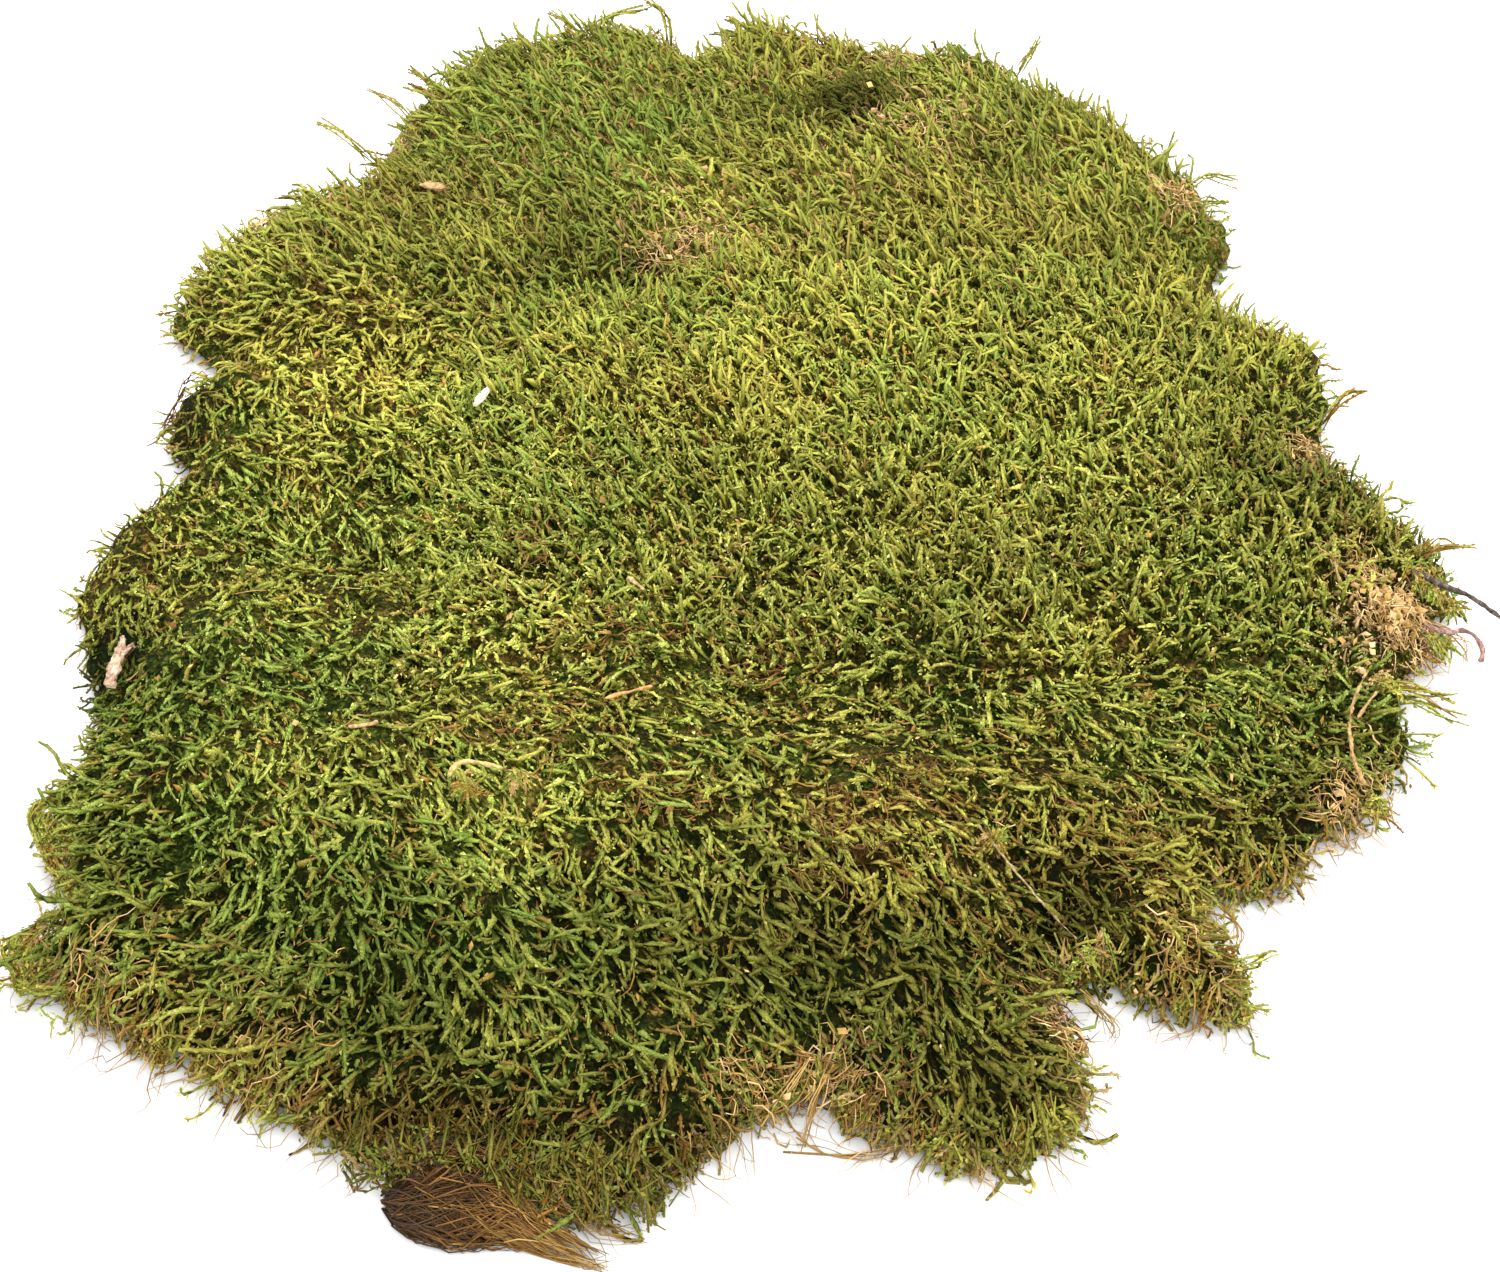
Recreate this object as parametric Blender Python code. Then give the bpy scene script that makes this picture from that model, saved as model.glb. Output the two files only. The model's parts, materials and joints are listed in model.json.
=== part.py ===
"""A torn piece of sheet moss, lying flat, with the litter that rests on it.

Lengths below are millimetres and become metres when a mesh is made.
X runs to the right, Y runs away from the front edge, and Z is up. The origin is on the
underside, at the middle of the whole part's box.
"""
import math

import bmesh
import bpy
import numpy as np
from mathutils import Matrix, Vector, noise
from mathutils.bvhtree import BVHTree
from mathutils.geometry import delaunay_2d_cdt

MM = 0.001
GAP = 0.35                     # clear space between pieces that touch

# ---- the mat ----------------------------------------------------------------------------
# The torn edge, clockwise from the notch in the far edge. Round stretches are a spline
# through these points.
FAR_EDGE = [(-13, 139), (-5, 151), (9, 149), (24, 144), (37, 138), (52, 134), (55, 125),
            (67, 120), (75, 109), (90, 88), (92, 68), (88, 55)]
RIGHT_EDGE = [(103, 41), (105, 20), (101, 6), (112, -5), (117, -22), (113, -37), (106, -46),
              (104, -57), (101, -72), (87, -83), (82, -91)]
FLAP = [(70, -93), (67, -98), (70, -107), (68, -114), (58, -114), (49, -108)]
FRONT_LOBE = [(42, -108), (41, -113), (46, -121), (44, -131), (35, -139), (22, -139),
              (12, -133), (6, -129)]
FRONT_EDGE = [(0, -134), (-8, -140), (-20, -147), (-30, -147), (-34, -139), (-39, -136),
              (-50, -136), (-57, -138), (-68, -132), (-84, -124), (-96, -118)]
LEFT_EDGE = [(-105, -111), (-112, -106), (-107, -97), (-110, -84), (-115, -80), (-109, -66),
             (-111, -52), (-114, -38), (-117, -22), (-112, -7), (-106, 1), (-110, 18),
             (-104, 33), (-114, 44), (-113, 56), (-106, 68), (-92, 82), (-82, 90)]
FAR_LOBE = [(-77, 104), (-70, 119), (-61, 130), (-48, 139), (-37, 148), (-26, 149)]
RIM_STEP = 4.2                 # length of one rim facet
CELL = 5.2                     # spacing of the points across the top
RIM_CLEAR = 3.4                # no inner point lies closer to the rim than this
POINT_SEED = 11
TUFT_REACH = 1.9               # the torn edge comes and goes by this much
TUFT_LENGTH = 6.5              # and this is the length of one tuft along it

BASE_THICKNESS = 14.0
# swells in the top: centre x and y, reach along x and y, and rise
SWELLS = [
    (-52, -92, 62, 34, 11.0),    # the thick front, with a long slope down to its edge
    (26, -108, 24, 26, 5.5),     # front lobe
    (-82, -46, 34, 30, 5.5),     # dome at the left
    (-84, 46, 28, 26, 2.5),      # left shoulder
    (58, -34, 46, 44, 4.5),      # right side
    (4, -8, 52, 34, 2.5),        # middle
    (34, 82, 42, 46, 3.5),       # far right
    (-46, 108, 28, 32, 5.0),     # far-left lobe
    (74, -102, 12, 10, 1.5),     # flap
]
# creases where the mat has slumped or torn: two ends, half width, depth
CREASES = [
    ((-80, -20), (-52, -27), 5.0, 6.0),
    ((-70, -5), (-56, -7), 4.0, 5.0),
    ((-26, 48), (-6, 66), 7.0, 4.5),
    ((-48, 50), (-26, 48), 6.0, 3.0),
    ((9, 112), (10, 146), 4.0, 3.0),
    ((22, 124), (28, 132), 7.0, 4.0),
    ((49, -110), (32, -86), 6.0, 6.5),
    ((2, -130), (10, -104), 5.0, 4.5),
    ((-104, 32), (-78, 28), 5.0, 3.0),
]
HUMMOCK = (30.0, 2.2)          # length and height of the broad unevenness
TUFT = (10.5, 1.3)             # and of the single tufts
SLOPE = 15.0                   # width of the rounded slope at the back and left edges
FRONT_SLOPE = 26.0             # what the front adds to it
RIGHT_SLOPE = 10.0             # what the right side adds to it
EDGE_SHARE = 0.42              # edge height as a share of the thickness
MIN_EDGE = 5.0
UNDERCUT = 1.6                 # the underside lies this far inside the rim
BELLY = 0.7                    # how far the wall swells between them
UNDER_CELL = 24.0              # spacing of the points across the flat underside

# ---- the root wad -----------------------------------------------------------------------
# sections from left to right: x, y of the back, y of the front, height
WAD_SECTIONS = [(-53.6, -143.6, -145.6, 2.2), (-51.6, -140.4, -149.0, 6.4),
                (-48.5, -138.8, -151.2, 8.8), (-44.5, -138.4, -152.4, 9.6),
                (-40.0, -138.4, -152.4, 8.6), (-35.5, -141.6, -152.0, 6.8),
                (-31.5, -148.2, -153.0, 4.4), (-27.0, -150.6, -154.4, 3.0),
                (-22.5, -153.2, -155.8, 1.6)]
WAD_SIDES = 14
WAD_RIDGE = 0.5                # depth of the grooves between its strands
WAD_SQUARENESS = 0.75          # 1 is a half ellipse, less is fuller

# ---- litter on top ----------------------------------------------------------------------
MAX_TILT = 0.4                 # rise over run of the steepest piece
# straws and stems: the points of the centre line, thickness at each end, rise of the middle
STRAWS = {
    "hooked_straw": ([(-47, -88.5), (-45.8, -86), (-43, -85.2), (-39.5, -84.6)], 1.0, 0.7, 0.6),
    "short_straw": ([(-62.6, -80.4), (-60.6, -80.2), (-58.4, -78.6)], 0.8, 0.7, 0.3),
    "orange_straw": ([(-25, -69.6), (-21.6, -68.4), (-17.6, -66)], 0.9, 0.7, 0.4),
    "bent_straw": ([(-22.6, -39), (-21.4, -40.6), (-19.8, -42.2)], 0.9, 0.7, 0.4),
    "pale_stem": ([(31, -90.5), (36, -97), (41, -102.4), (45.4, -106)], 0.9, 0.7, 0.8),
    "dark_twig": ([(107.5, -29.2), (113, -31.4), (118.4, -32.6), (124, -35.6)], 1.2, 0.8, 0.4),
    "forked_stem": ([(96.6, -54), (93.2, -60.6), (91.4, -66.4), (91.2, -73), (92.6, -77)],
                    0.9, 1.5, 0.5),
    "forked_stem_branch": ([(97.6, -57.6), (95.4, -60.6), (93.4, -63.4)], 0.7, 0.9, 0.3),
    "dry_curl": ([(108.6, -40.4), (112.6, -41.4), (116.2, -39.6), (118.8, -42), (118, -45)],
                 0.8, 1.0, 0.6),
}
STRAW_SIDES = 6
STRAW_STEP = 1.6               # length of one segment
# flat bits: outline of one, centre, turn in degrees, thickness
FLAKES = {
    "bark_flake": ([(-1.3, -5.6), (0.4, -5.9), (1.1, -2.4), (1.5, 0.8), (3.1, 2.9), (1.3, 2.6),
                    (1.2, 5.2), (0.1, 5.8), (-0.6, 2.4), (-1.5, -0.6)], (-103.4, -55.6), 4, 1.0),
    "pale_sliver": ([(-0.4, -2.6), (0.4, -2.4), (0.9, 0.0), (0.9, 2.2), (0.2, 2.9),
                     (-0.5, 1.6)], (-50.4, 9.4), -18, 0.6),
    "dead_leaf": ([(-3.2, -0.6), (-1.2, -1.3), (1.4, -1.1), (3.3, 0.1), (1.2, 1.2),
                   (-1.6, 1.0)], (-64.4, 75.2), -14, 0.6),
}

# colour, roughness
MOSS_GREEN = ((0.150, 0.172, 0.034), 0.85)
ROOT_BROWN = ((0.125, 0.072, 0.030), 0.90)
BARK_TAN = ((0.520, 0.330, 0.200), 0.80)
TWIG_DARK = ((0.060, 0.040, 0.034), 0.75)
STRAW_TAN = ((0.480, 0.300, 0.120), 0.70)
SLIVER_WHITE = ((0.700, 0.660, 0.520), 0.60)
CURL_RED = ((0.330, 0.150, 0.110), 0.75)
LITTER_FINISH = {"bark_flake": BARK_TAN, "dead_leaf": BARK_TAN, "pale_sliver": SLIVER_WHITE,
                 "dark_twig": TWIG_DARK, "dry_curl": CURL_RED}


def clear_scene():
    for old in list(bpy.data.objects):
        bpy.data.objects.remove(old, do_unlink=True)


def finish(name, look):
    colour, roughness = look
    material = bpy.data.materials.new(name + "_finish")
    material.use_nodes = True
    shader = material.node_tree.nodes["Principled BSDF"]
    shader.inputs["Base Color"].default_value = (*colour, 1.0)
    shader.inputs["Roughness"].default_value = roughness
    shader.inputs["Metallic"].default_value = 0.0
    return material


def add_object(name, bm, look, parent):
    """Turn a bmesh in millimetres into a named object in metres."""
    bmesh.ops.recalc_face_normals(bm, faces=bm.faces)
    bmesh.ops.triangulate(bm, faces=bm.faces)
    bmesh.ops.scale(bm, vec=(MM, MM, MM), verts=bm.verts)
    mesh = bpy.data.meshes.new(name)
    bm.to_mesh(mesh)
    bm.free()
    mesh.shade_smooth()
    mesh.set_sharp_from_angle(angle=math.radians(60))
    mesh.materials.append(finish(name, look))
    piece = bpy.data.objects.new(name, mesh)
    bpy.context.collection.objects.link(piece)
    piece.parent = parent
    return piece


def smooth_step(low, high, value):
    t = np.clip((value - low) / (high - low), 0.0, 1.0)
    return t * t * (3 - 2 * t)


# ---- outlines and splines ---------------------------------------------------------------
def spline_point(a, b, c, d, t):
    """A point between b and c on the Catmull-Rom curve through a, b, c and d."""
    return 0.5 * (2 * b + (c - a) * t + (2 * a - 5 * b + 4 * c - d) * t * t
                  + (3 * b - a - 3 * c + d) * t * t * t)


def even_points(dense, step, closed):
    """Points spaced evenly, about step apart, along a dense run of points."""
    if closed:
        dense = np.vstack([dense, dense[:1]])
    lengths = np.concatenate([[0], np.cumsum(np.linalg.norm(np.diff(dense, axis=0), axis=1))])
    count = max(2, round(lengths[-1] / step))
    marks = np.linspace(0, lengths[-1], count + 1)
    if closed:
        marks = marks[:-1]
    return np.column_stack([np.interp(marks, lengths, dense[:, k]) for k in range(dense.shape[1])])


def spline(points, step, closed=False, fine=12):
    points = np.array(points, float)
    count = len(points)
    dense = []
    for i in range(count if closed else count - 1):
        if closed:
            a, b, c, d = (points[(i + k) % count] for k in (-1, 0, 1, 2))
        else:
            a, b, c, d = (points[min(max(i + k, 0), count - 1)] for k in (-1, 0, 1, 2))
        dense += [spline_point(a, b, c, d, t) for t in np.arange(fine) / fine]
    if not closed:
        dense.append(points[-1])
    return even_points(np.array(dense), step, closed)


def outward(ring):
    """Unit vectors pointing out of a clockwise ring."""
    along = np.roll(ring, -1, axis=0) - np.roll(ring, 1, axis=0)
    along /= np.linalg.norm(along, axis=1)[:, None]
    return np.column_stack([-along[:, 1], along[:, 0]])


def torn_rim():
    points = FAR_EDGE + RIGHT_EDGE + FLAP + FRONT_LOBE + FRONT_EDGE + LEFT_EDGE + FAR_LOBE
    ring = spline(points, RIM_STEP, closed=True)
    reach = [noise.noise(Vector((x / TUFT_LENGTH, y / TUFT_LENGTH, 3.7))) for x, y in ring]
    return ring + outward(ring) * np.array(reach)[:, None] * TUFT_REACH * 2


def distance_to_ring(points, ring):
    ends = np.roll(ring, -1, axis=0)
    span = ends - ring
    best = np.full(len(points), 1e9)
    for start, run in zip(ring, span):
        t = np.clip((points - start) @ run / (run @ run), 0, 1)
        best = np.minimum(best, np.linalg.norm(points - (start + t[:, None] * run), axis=1))
    return best


def inside_ring(points, ring):
    inside = np.zeros(len(points), bool)
    for a, b in zip(ring, np.roll(ring, -1, axis=0)):
        crosses = (a[1] > points[:, 1]) != (b[1] > points[:, 1])
        rise = b[1] - a[1] if b[1] != a[1] else 1e-9
        inside ^= crosses & (points[:, 0] < (b[0] - a[0]) * (points[:, 1] - a[1]) / rise + a[0])
    return inside


def points_across(ring, cell, clear):
    """Staggered rows of points inside a ring, none nearer to it than clear."""
    low, high = ring.min(axis=0), ring.max(axis=0)
    rows = []
    for row, y in enumerate(np.arange(low[1], high[1], cell * math.sqrt(0.75))):
        xs = np.arange(low[0] + (row % 2) * cell / 2, high[0], cell)
        rows.append(np.column_stack([xs, np.full(len(xs), y)]))
    points = np.vstack(rows)
    # a small shift for each point, so that no straight rows show
    points = points + np.random.default_rng(POINT_SEED).uniform(-0.2, 0.2, points.shape) * cell
    points = points[inside_ring(points, ring)]
    return points[distance_to_ring(points, ring) > clear]


# ---- the mat ----------------------------------------------------------------------------
def swell(x, y):
    return sum(rise * math.exp(-((x - cx) / rx) ** 2 - ((y - cy) / ry) ** 2)
               for cx, cy, rx, ry, rise in SWELLS)


def crease(x, y):
    point = np.array((x, y))
    depth = 0.0
    for start, end, half_width, drop in CREASES:
        start = np.array(start, float)
        run = np.array(end, float) - start
        t = np.clip((point - start) @ run / (run @ run), 0, 1)
        away = np.linalg.norm(point - start - t * run)
        depth = max(depth, drop * math.exp(-(away / half_width) ** 2))
    return depth


def uneven(x, y):
    length, height = HUMMOCK
    broad = noise.noise(Vector((x / length, y / length, 0.5))) * height * 2
    length, height = TUFT
    return broad + noise.noise(Vector((x / length, y / length, 7.5))) * height * 2


def top_height(x, y, inset):
    """Height of the top at a point that lies inset from the torn edge."""
    thickness = BASE_THICKNESS + swell(x, y) - crease(x, y)
    width = SLOPE + FRONT_SLOPE * smooth_step(-20, -100, y) + RIGHT_SLOPE * smooth_step(40, 95, x)
    share = min(inset / width, 1.0)
    rounded = math.sqrt(1 - (1 - share) ** 2)
    height = thickness * (EDGE_SHARE + (1 - EDGE_SHARE) * rounded)
    return max(height + uneven(x, y) * (0.4 + 0.6 * rounded), MIN_EDGE)


def fill_flat(ring, points):
    """Triangles over a ring and the points inside it; the ring's points come first."""
    corners = [Vector(p) for p in np.vstack([ring, points])]
    edges = [(i, (i + 1) % len(ring)) for i in range(len(ring))]
    flat, _, faces, origins, _, _ = delaunay_2d_cdt(corners, edges, [], 1, 1e-4)
    first = [origin[0] for origin in origins]
    return [tuple(first[i] for i in face) for face in faces], len(flat)


def moss_mat(parent):
    rim = torn_rim()
    inner = points_across(rim, CELL, RIM_CLEAR)
    inset = distance_to_ring(inner, rim)
    bm = bmesh.new()
    top = [bm.verts.new((x, y, top_height(x, y, 0))) for x, y in rim]
    top += [bm.verts.new((x, y, top_height(x, y, d))) for (x, y), d in zip(inner, inset)]
    faces, _ = fill_flat(rim, inner)
    for face in faces:
        bm.faces.new([top[i] for i in face])
    # the wall swells a little below the rim and then turns under
    side = outward(rim)
    rings = [top[:len(rim)]]
    for level, reach in ((0.5, BELLY), (0.16, -0.3 * UNDERCUT), (0.0, -UNDERCUT)):
        spots = rim + side * reach
        rings.append([bm.verts.new((x, y, level * above.co.z))
                      for (x, y), above in zip(spots, rings[0])])
    for upper, lower in zip(rings, rings[1:]):
        for i in range(len(rim)):
            j = (i + 1) % len(rim)
            bm.faces.new((upper[i], upper[j], lower[j], lower[i]))
    foot = rim - side * UNDERCUT
    under_points = points_across(foot, UNDER_CELL, RIM_CLEAR)
    under = rings[-1] + [bm.verts.new((x, y, 0)) for x, y in under_points]
    faces, _ = fill_flat(foot, under_points)
    for face in faces:
        bm.faces.new([under[i] for i in face])
    bmesh.ops.recalc_face_normals(bm, faces=bm.faces)
    surface = BVHTree.FromBMesh(bm)
    return add_object("moss_mat", bm, MOSS_GREEN, parent), surface


# ---- the root wad -----------------------------------------------------------------------
def root_wad(parent):
    """A flat-bottomed loft of half-round sections, grooved along its strands."""
    bm = bmesh.new()
    rings = []
    for x, back, front, height in WAD_SECTIONS:
        ring = []
        for k in range(WAD_SIDES):
            turn = math.pi * k / (WAD_SIDES - 1)
            across, up = math.cos(turn), abs(math.sin(turn))
            groove = WAD_RIDGE * noise.noise(Vector((x * 0.12, k * 1.7, 2.0))) * up * 2
            y = (back + front) / 2 + (back - front) / 2 * math.copysign(
                abs(across) ** WAD_SQUARENESS, across)
            ring.append(bm.verts.new((x, y, (height + groove) * up ** WAD_SQUARENESS)))
        rings.append(ring)
    for left, right in zip(rings, rings[1:]):
        for k in range(WAD_SIDES):
            n = (k + 1) % WAD_SIDES
            bm.faces.new((left[k], left[n], right[n], right[k]))
    bm.faces.new(rings[0])
    bm.faces.new(rings[-1])
    return add_object("root_wad", bm, ROOT_BROWN, parent)


# ---- litter -----------------------------------------------------------------------------
def mat_top(surface, x, y):
    hit = surface.ray_cast(Vector((x, y, 100.0)), Vector((0, 0, -1)))
    return hit[0].z if hit[0] else None


def resting_plane(surface, samples):
    """Height and slopes of the flat that lies on the mat under the samples."""
    rows, heights = [], []
    for x, y in samples:
        top = mat_top(surface, x, y)
        if top is not None:
            rows.append((1.0, x, y))
            heights.append(top)
    rows, heights = np.array(rows), np.array(heights)
    plane = np.linalg.lstsq(rows, heights, rcond=None)[0]
    plane[1:] *= min(1.0, MAX_TILT / np.linalg.norm(plane[1:]))
    plane[0] = (heights - rows[:, 1:] @ plane[1:]).max() + GAP
    return plane


def straw(name, line, thick_start, thick_end, rise, surface, parent):
    """A round, tapering stem whose lowest point rests on the mat."""
    path = spline(line, STRAW_STEP)
    radii = np.linspace(thick_start, thick_end, len(path)) / 2
    close = spline(line, 0.4)
    beside = outward(close) * max(thick_start, thick_end) / 2
    plane = resting_plane(surface, np.vstack([close, close + beside, close - beside])[1:-1])
    along = np.linspace(0, 1, len(path))
    heights = plane[0] + path @ plane[1:] + radii.max() + rise * np.sin(math.pi * along)
    centres = [Vector((x, y, z)) for (x, y), z in zip(path, heights)]
    bm = bmesh.new()
    rings = []
    for i, (centre, radius) in enumerate(zip(centres, radii.tolist())):
        ahead = centres[min(i + 1, len(centres) - 1)] - centres[max(i - 1, 0)]
        across = ahead.cross(Vector((0, 0, 1))).normalized()
        up = across.cross(ahead).normalized()
        turns = [2 * math.pi * k / STRAW_SIDES for k in range(STRAW_SIDES)]
        rings.append([bm.verts.new(centre + (across * math.cos(a) + up * math.sin(a)) * radius)
                      for a in turns])
    for lower, upper in zip(rings, rings[1:]):
        for k in range(STRAW_SIDES):
            n = (k + 1) % STRAW_SIDES
            bm.faces.new((lower[k], lower[n], upper[n], upper[k]))
    bm.faces.new(rings[0])
    bm.faces.new(rings[-1])
    return add_object(name, bm, LITTER_FINISH.get(name, STRAW_TAN), parent)


def flake(name, outline, centre, turn, thickness, surface, parent):
    """A thin plate that lies along the slope of the mat."""
    spin = Matrix.Rotation(math.radians(turn), 2)
    spots = [spin @ Vector(p) + Vector(centre) for p in outline]
    middle = Vector(centre)
    samples = [middle.lerp(p, share) for p in spots for share in (0.0, 0.35, 0.7, 1.0)]
    samples += [p.lerp(q, 0.5) for p, q in zip(spots, spots[1:] + spots[:1])]
    plane = resting_plane(surface, samples)
    normal = Vector((-plane[1], -plane[2], 1)).normalized()
    bm = bmesh.new()
    base = [bm.verts.new((p.x, p.y, plane[0] + plane[1] * p.x + plane[2] * p.y)) for p in spots]
    lid = [bm.verts.new(v.co + normal * thickness) for v in base]
    bm.faces.new(base)
    bm.faces.new(lid)
    for i in range(len(base)):
        j = (i + 1) % len(base)
        bm.faces.new((base[i], base[j], lid[j], lid[i]))
    return add_object(name, bm, LITTER_FINISH[name], parent)


def centre_on_origin(pieces, parent):
    """Move the whole part so that the middle of its box stands over the origin."""
    corners = np.array([v.co for piece in pieces for v in piece.data.vertices])
    middle = (corners.min(axis=0) + corners.max(axis=0)) / 2
    parent.location = (-middle[0], -middle[1], 0.0)


def main():
    clear_scene()
    base = bpy.data.objects.new("clump_place", None)
    bpy.context.collection.objects.link(base)
    mat, surface = moss_mat(base)
    pieces = [mat, root_wad(base)]
    for name, (line, thick_start, thick_end, rise) in STRAWS.items():
        pieces.append(straw(name, line, thick_start, thick_end, rise, surface, base))
    for name, (outline, centre, turn, thickness) in FLAKES.items():
        pieces.append(flake(name, outline, centre, turn, thickness, surface, base))
    centre_on_origin(pieces, base)
    bpy.context.view_layer.update()


main()
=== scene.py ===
"""The looks of a torn piece of sheet moss: its leafy shoots, felted core, roots and litter."""
import json
import math

import bmesh
import bpy
import numpy as np
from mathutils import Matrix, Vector, noise
from mathutils.bvhtree import BVHTree

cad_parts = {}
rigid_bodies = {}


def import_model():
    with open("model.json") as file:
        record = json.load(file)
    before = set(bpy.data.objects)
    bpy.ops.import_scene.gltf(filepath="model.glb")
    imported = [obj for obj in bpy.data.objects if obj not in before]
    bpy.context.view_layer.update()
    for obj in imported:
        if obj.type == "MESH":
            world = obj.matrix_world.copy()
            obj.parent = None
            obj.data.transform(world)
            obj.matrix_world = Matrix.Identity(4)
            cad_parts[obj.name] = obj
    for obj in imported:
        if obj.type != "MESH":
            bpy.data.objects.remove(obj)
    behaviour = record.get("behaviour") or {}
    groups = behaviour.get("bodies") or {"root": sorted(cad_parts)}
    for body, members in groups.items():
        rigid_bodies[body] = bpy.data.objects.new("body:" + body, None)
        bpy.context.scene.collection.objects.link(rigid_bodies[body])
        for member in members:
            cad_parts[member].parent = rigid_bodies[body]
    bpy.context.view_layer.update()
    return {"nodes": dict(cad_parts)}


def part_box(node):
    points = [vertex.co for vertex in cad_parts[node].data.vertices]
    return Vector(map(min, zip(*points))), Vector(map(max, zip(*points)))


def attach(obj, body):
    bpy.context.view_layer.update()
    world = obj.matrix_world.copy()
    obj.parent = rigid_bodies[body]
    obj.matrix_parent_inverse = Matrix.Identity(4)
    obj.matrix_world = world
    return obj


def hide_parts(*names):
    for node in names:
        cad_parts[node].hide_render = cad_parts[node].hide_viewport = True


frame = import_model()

MM = 0.001
GOLDEN_TURN = math.radians(137.5)
FIBRE_SEED, LITTER_SEED, ROOT_SEED, EDGE_SEED, THREAD_SEED = 31, 53, 71, 97, 113
UPPER_SEED, LOWER_SEED = 100, 200      # and the numbers after them, one for each region

# ---- camera, from the photograph ---------------------------------------------------------
LENS_MM = 60.0
SENSOR_MM = 36.0
VIEW_DOWN = math.radians(45)
VIEW_DISTANCE = 0.425
VIEW_TARGET = Vector((-0.0052, -0.0320, 0.0))

# ---- floor and light, in metres and watts ------------------------------------------------
FLOOR_HALF = 3.0
FLOOR_GREY = 0.62
SKY_STRENGTH = 2.05
LIGHT_TARGET = Vector((0, -0.03, 0))
# place, size and power
KEY_LIGHT = ((-0.25, 0.75, 1.15), 0.45, 17.0)
FILL_LIGHT = ((0.25, -0.6, 1.0), 0.9, 13.0)

# ---- the mat, in millimetres unless said -------------------------------------------------
CORE_DEPTH = 3.6               # the feet of the shoots lie this far under their tips
FRONT_DEPTH = 2.2              # and this much further in at the steep front, under long shoots
RIM_RISE = 1.2                 # and this much further out at the rest of the rim
FELT_DROP = 0.1                # the felt lies this much lower than the feet of the shoots
FELT_WALL_RISE = 2.2           # but this much further out at the steep rim
FELT_FAR_RISE = 0.5            # and this much higher at the far side
FELT_LUMPS = 1.5               # height of its lumps
CORE_LIFT = 0.7                # the felt's underside lies this far over the ground, on the roots
LEAST_CORE = 0.3               # the felt is at least this thick
FLOOR_GAP = 0.15               # shoots end this far over the ground
PRESSED_FLAT = 0.08            # and what would reach under it is pressed to this share
MIDDLE = (-5.0, -20.0)         # the shoots lean away from here
REACH = 150.0                  # distance from the middle to the far edge
FRONT_BAND = (-50, -100)       # the mat turns into its thick front between these y
STEEP_BAND = (-60, -110)       # and its shoots into those of the front between these
FAR_BAND = (20, 90)            # the mat turns into its far side between these
ON_GROUND = 0.01               # the solid's points below this height lie on the ground
DOWNWARD = -0.8                # a face whose normal has a lower z belongs to the underside
# how the shoots lean and bend in X, Y and Z: near the front, over the rest and at the hem
LEANS = np.array(((0.42, -0.90, 0.0), (-0.50, 0.12, 0.65), (-0.9, -0.3, 0.0)))
FLOWS = np.array(((0.5, -0.9, 0.0), (-0.5, 0.75, 0.0), (-0.9, -0.3, 0.0)))

# patches of the top, as x, y, reach and strength
DRY_PATCHES = [(96, 4, 9, 0.55), (105, -36, 11, 1.0), (94, -45, 7, 0.5), (88, -79, 10, 0.6),
               (-23, 62, 8, 0.35), (-14, 68, 8, 0.35), (27, 128, 9, 0.45), (46, 140, 8, 0.4),
               (29, 99, 14, 0.15), (42, -120, 9, 0.6), (66, -112, 7, 0.4), (7, -130, 10, 0.9),
               (-7, -129, 8, 0.6), (-33, -60, 12, 0.22), (4, -60, 12, 0.22), (29, -83, 16, 0.3),
               (-15, -49, 8, 0.15), (51, -95, 16, 0.30), (25, -102, 12, 0.30),
               (-111, 45, 6, 0.4), (-112, 19, 8, 0.6), (-107, 3, 8, 0.5), (-77, 103, 8, 0.5),
               (-104, 72, 8, 0.5), (-29, 149, 7, 0.4), (-20, -131, 12, 0.3),
               (-85, -123, 13, 0.25), (-60, -134, 12, 0.28)]
# where the dry shoots are bleached
PALE_PATCHES = [(105, -36, 12, 1.0), (7, -130, 10, 1.0), (96, 4, 9, 0.8), (88, -79, 10, 0.8),
                (94, -45, 8, 0.8), (-23, 62, 7, 0.6), (-14, 68, 8, 0.7), (29, 99, 12, 0.5),
                (27, 128, 9, 0.6), (46, 140, 8, 0.8), (-111, 45, 6, 0.6), (-100, 68, 8, 0.7),
                (-77, 103, 8, 0.7), (42, -120, 8, 0.6), (66, -112, 7, 0.6), (-112, 19, 6, 0.4)]
# tone runs from 0, cool dark green, to 1, yellow green
BASE_TONE = 0.42
TONE_PATCHES = [(-89, -58, 24, -0.38), (-77, -108, 26, -0.36), (-43, -120, 30, -0.36),
                (-105, -106, 10, -0.3), (9, -128, 12, -0.3), (25, -104, 20, -0.25),
                (90, -5, 16, -0.22), (84, -58, 20, -0.15), (-42, 98, 28, -0.26),
                (-70, -84, 16, 0.20), (28, 62, 52, 0.14), (-92, 38, 24, 0.14),
                (-90, -124, 13, 0.40), (-68, -132, 13, 0.50), (-50, -139, 10, 0.55),
                (26, -122, 14, 0.35), (45, -104, 18, 0.35), (69, -93, 14, 0.25),
                (5, -100, 16, 0.36), (-12, -116, 12, 0.25), (32, -88, 18, 0.20),
                (-59, -84, 8, 0.10), (-76, -121, 14, 0.45), (-45, -128, 12, 0.20)]
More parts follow.
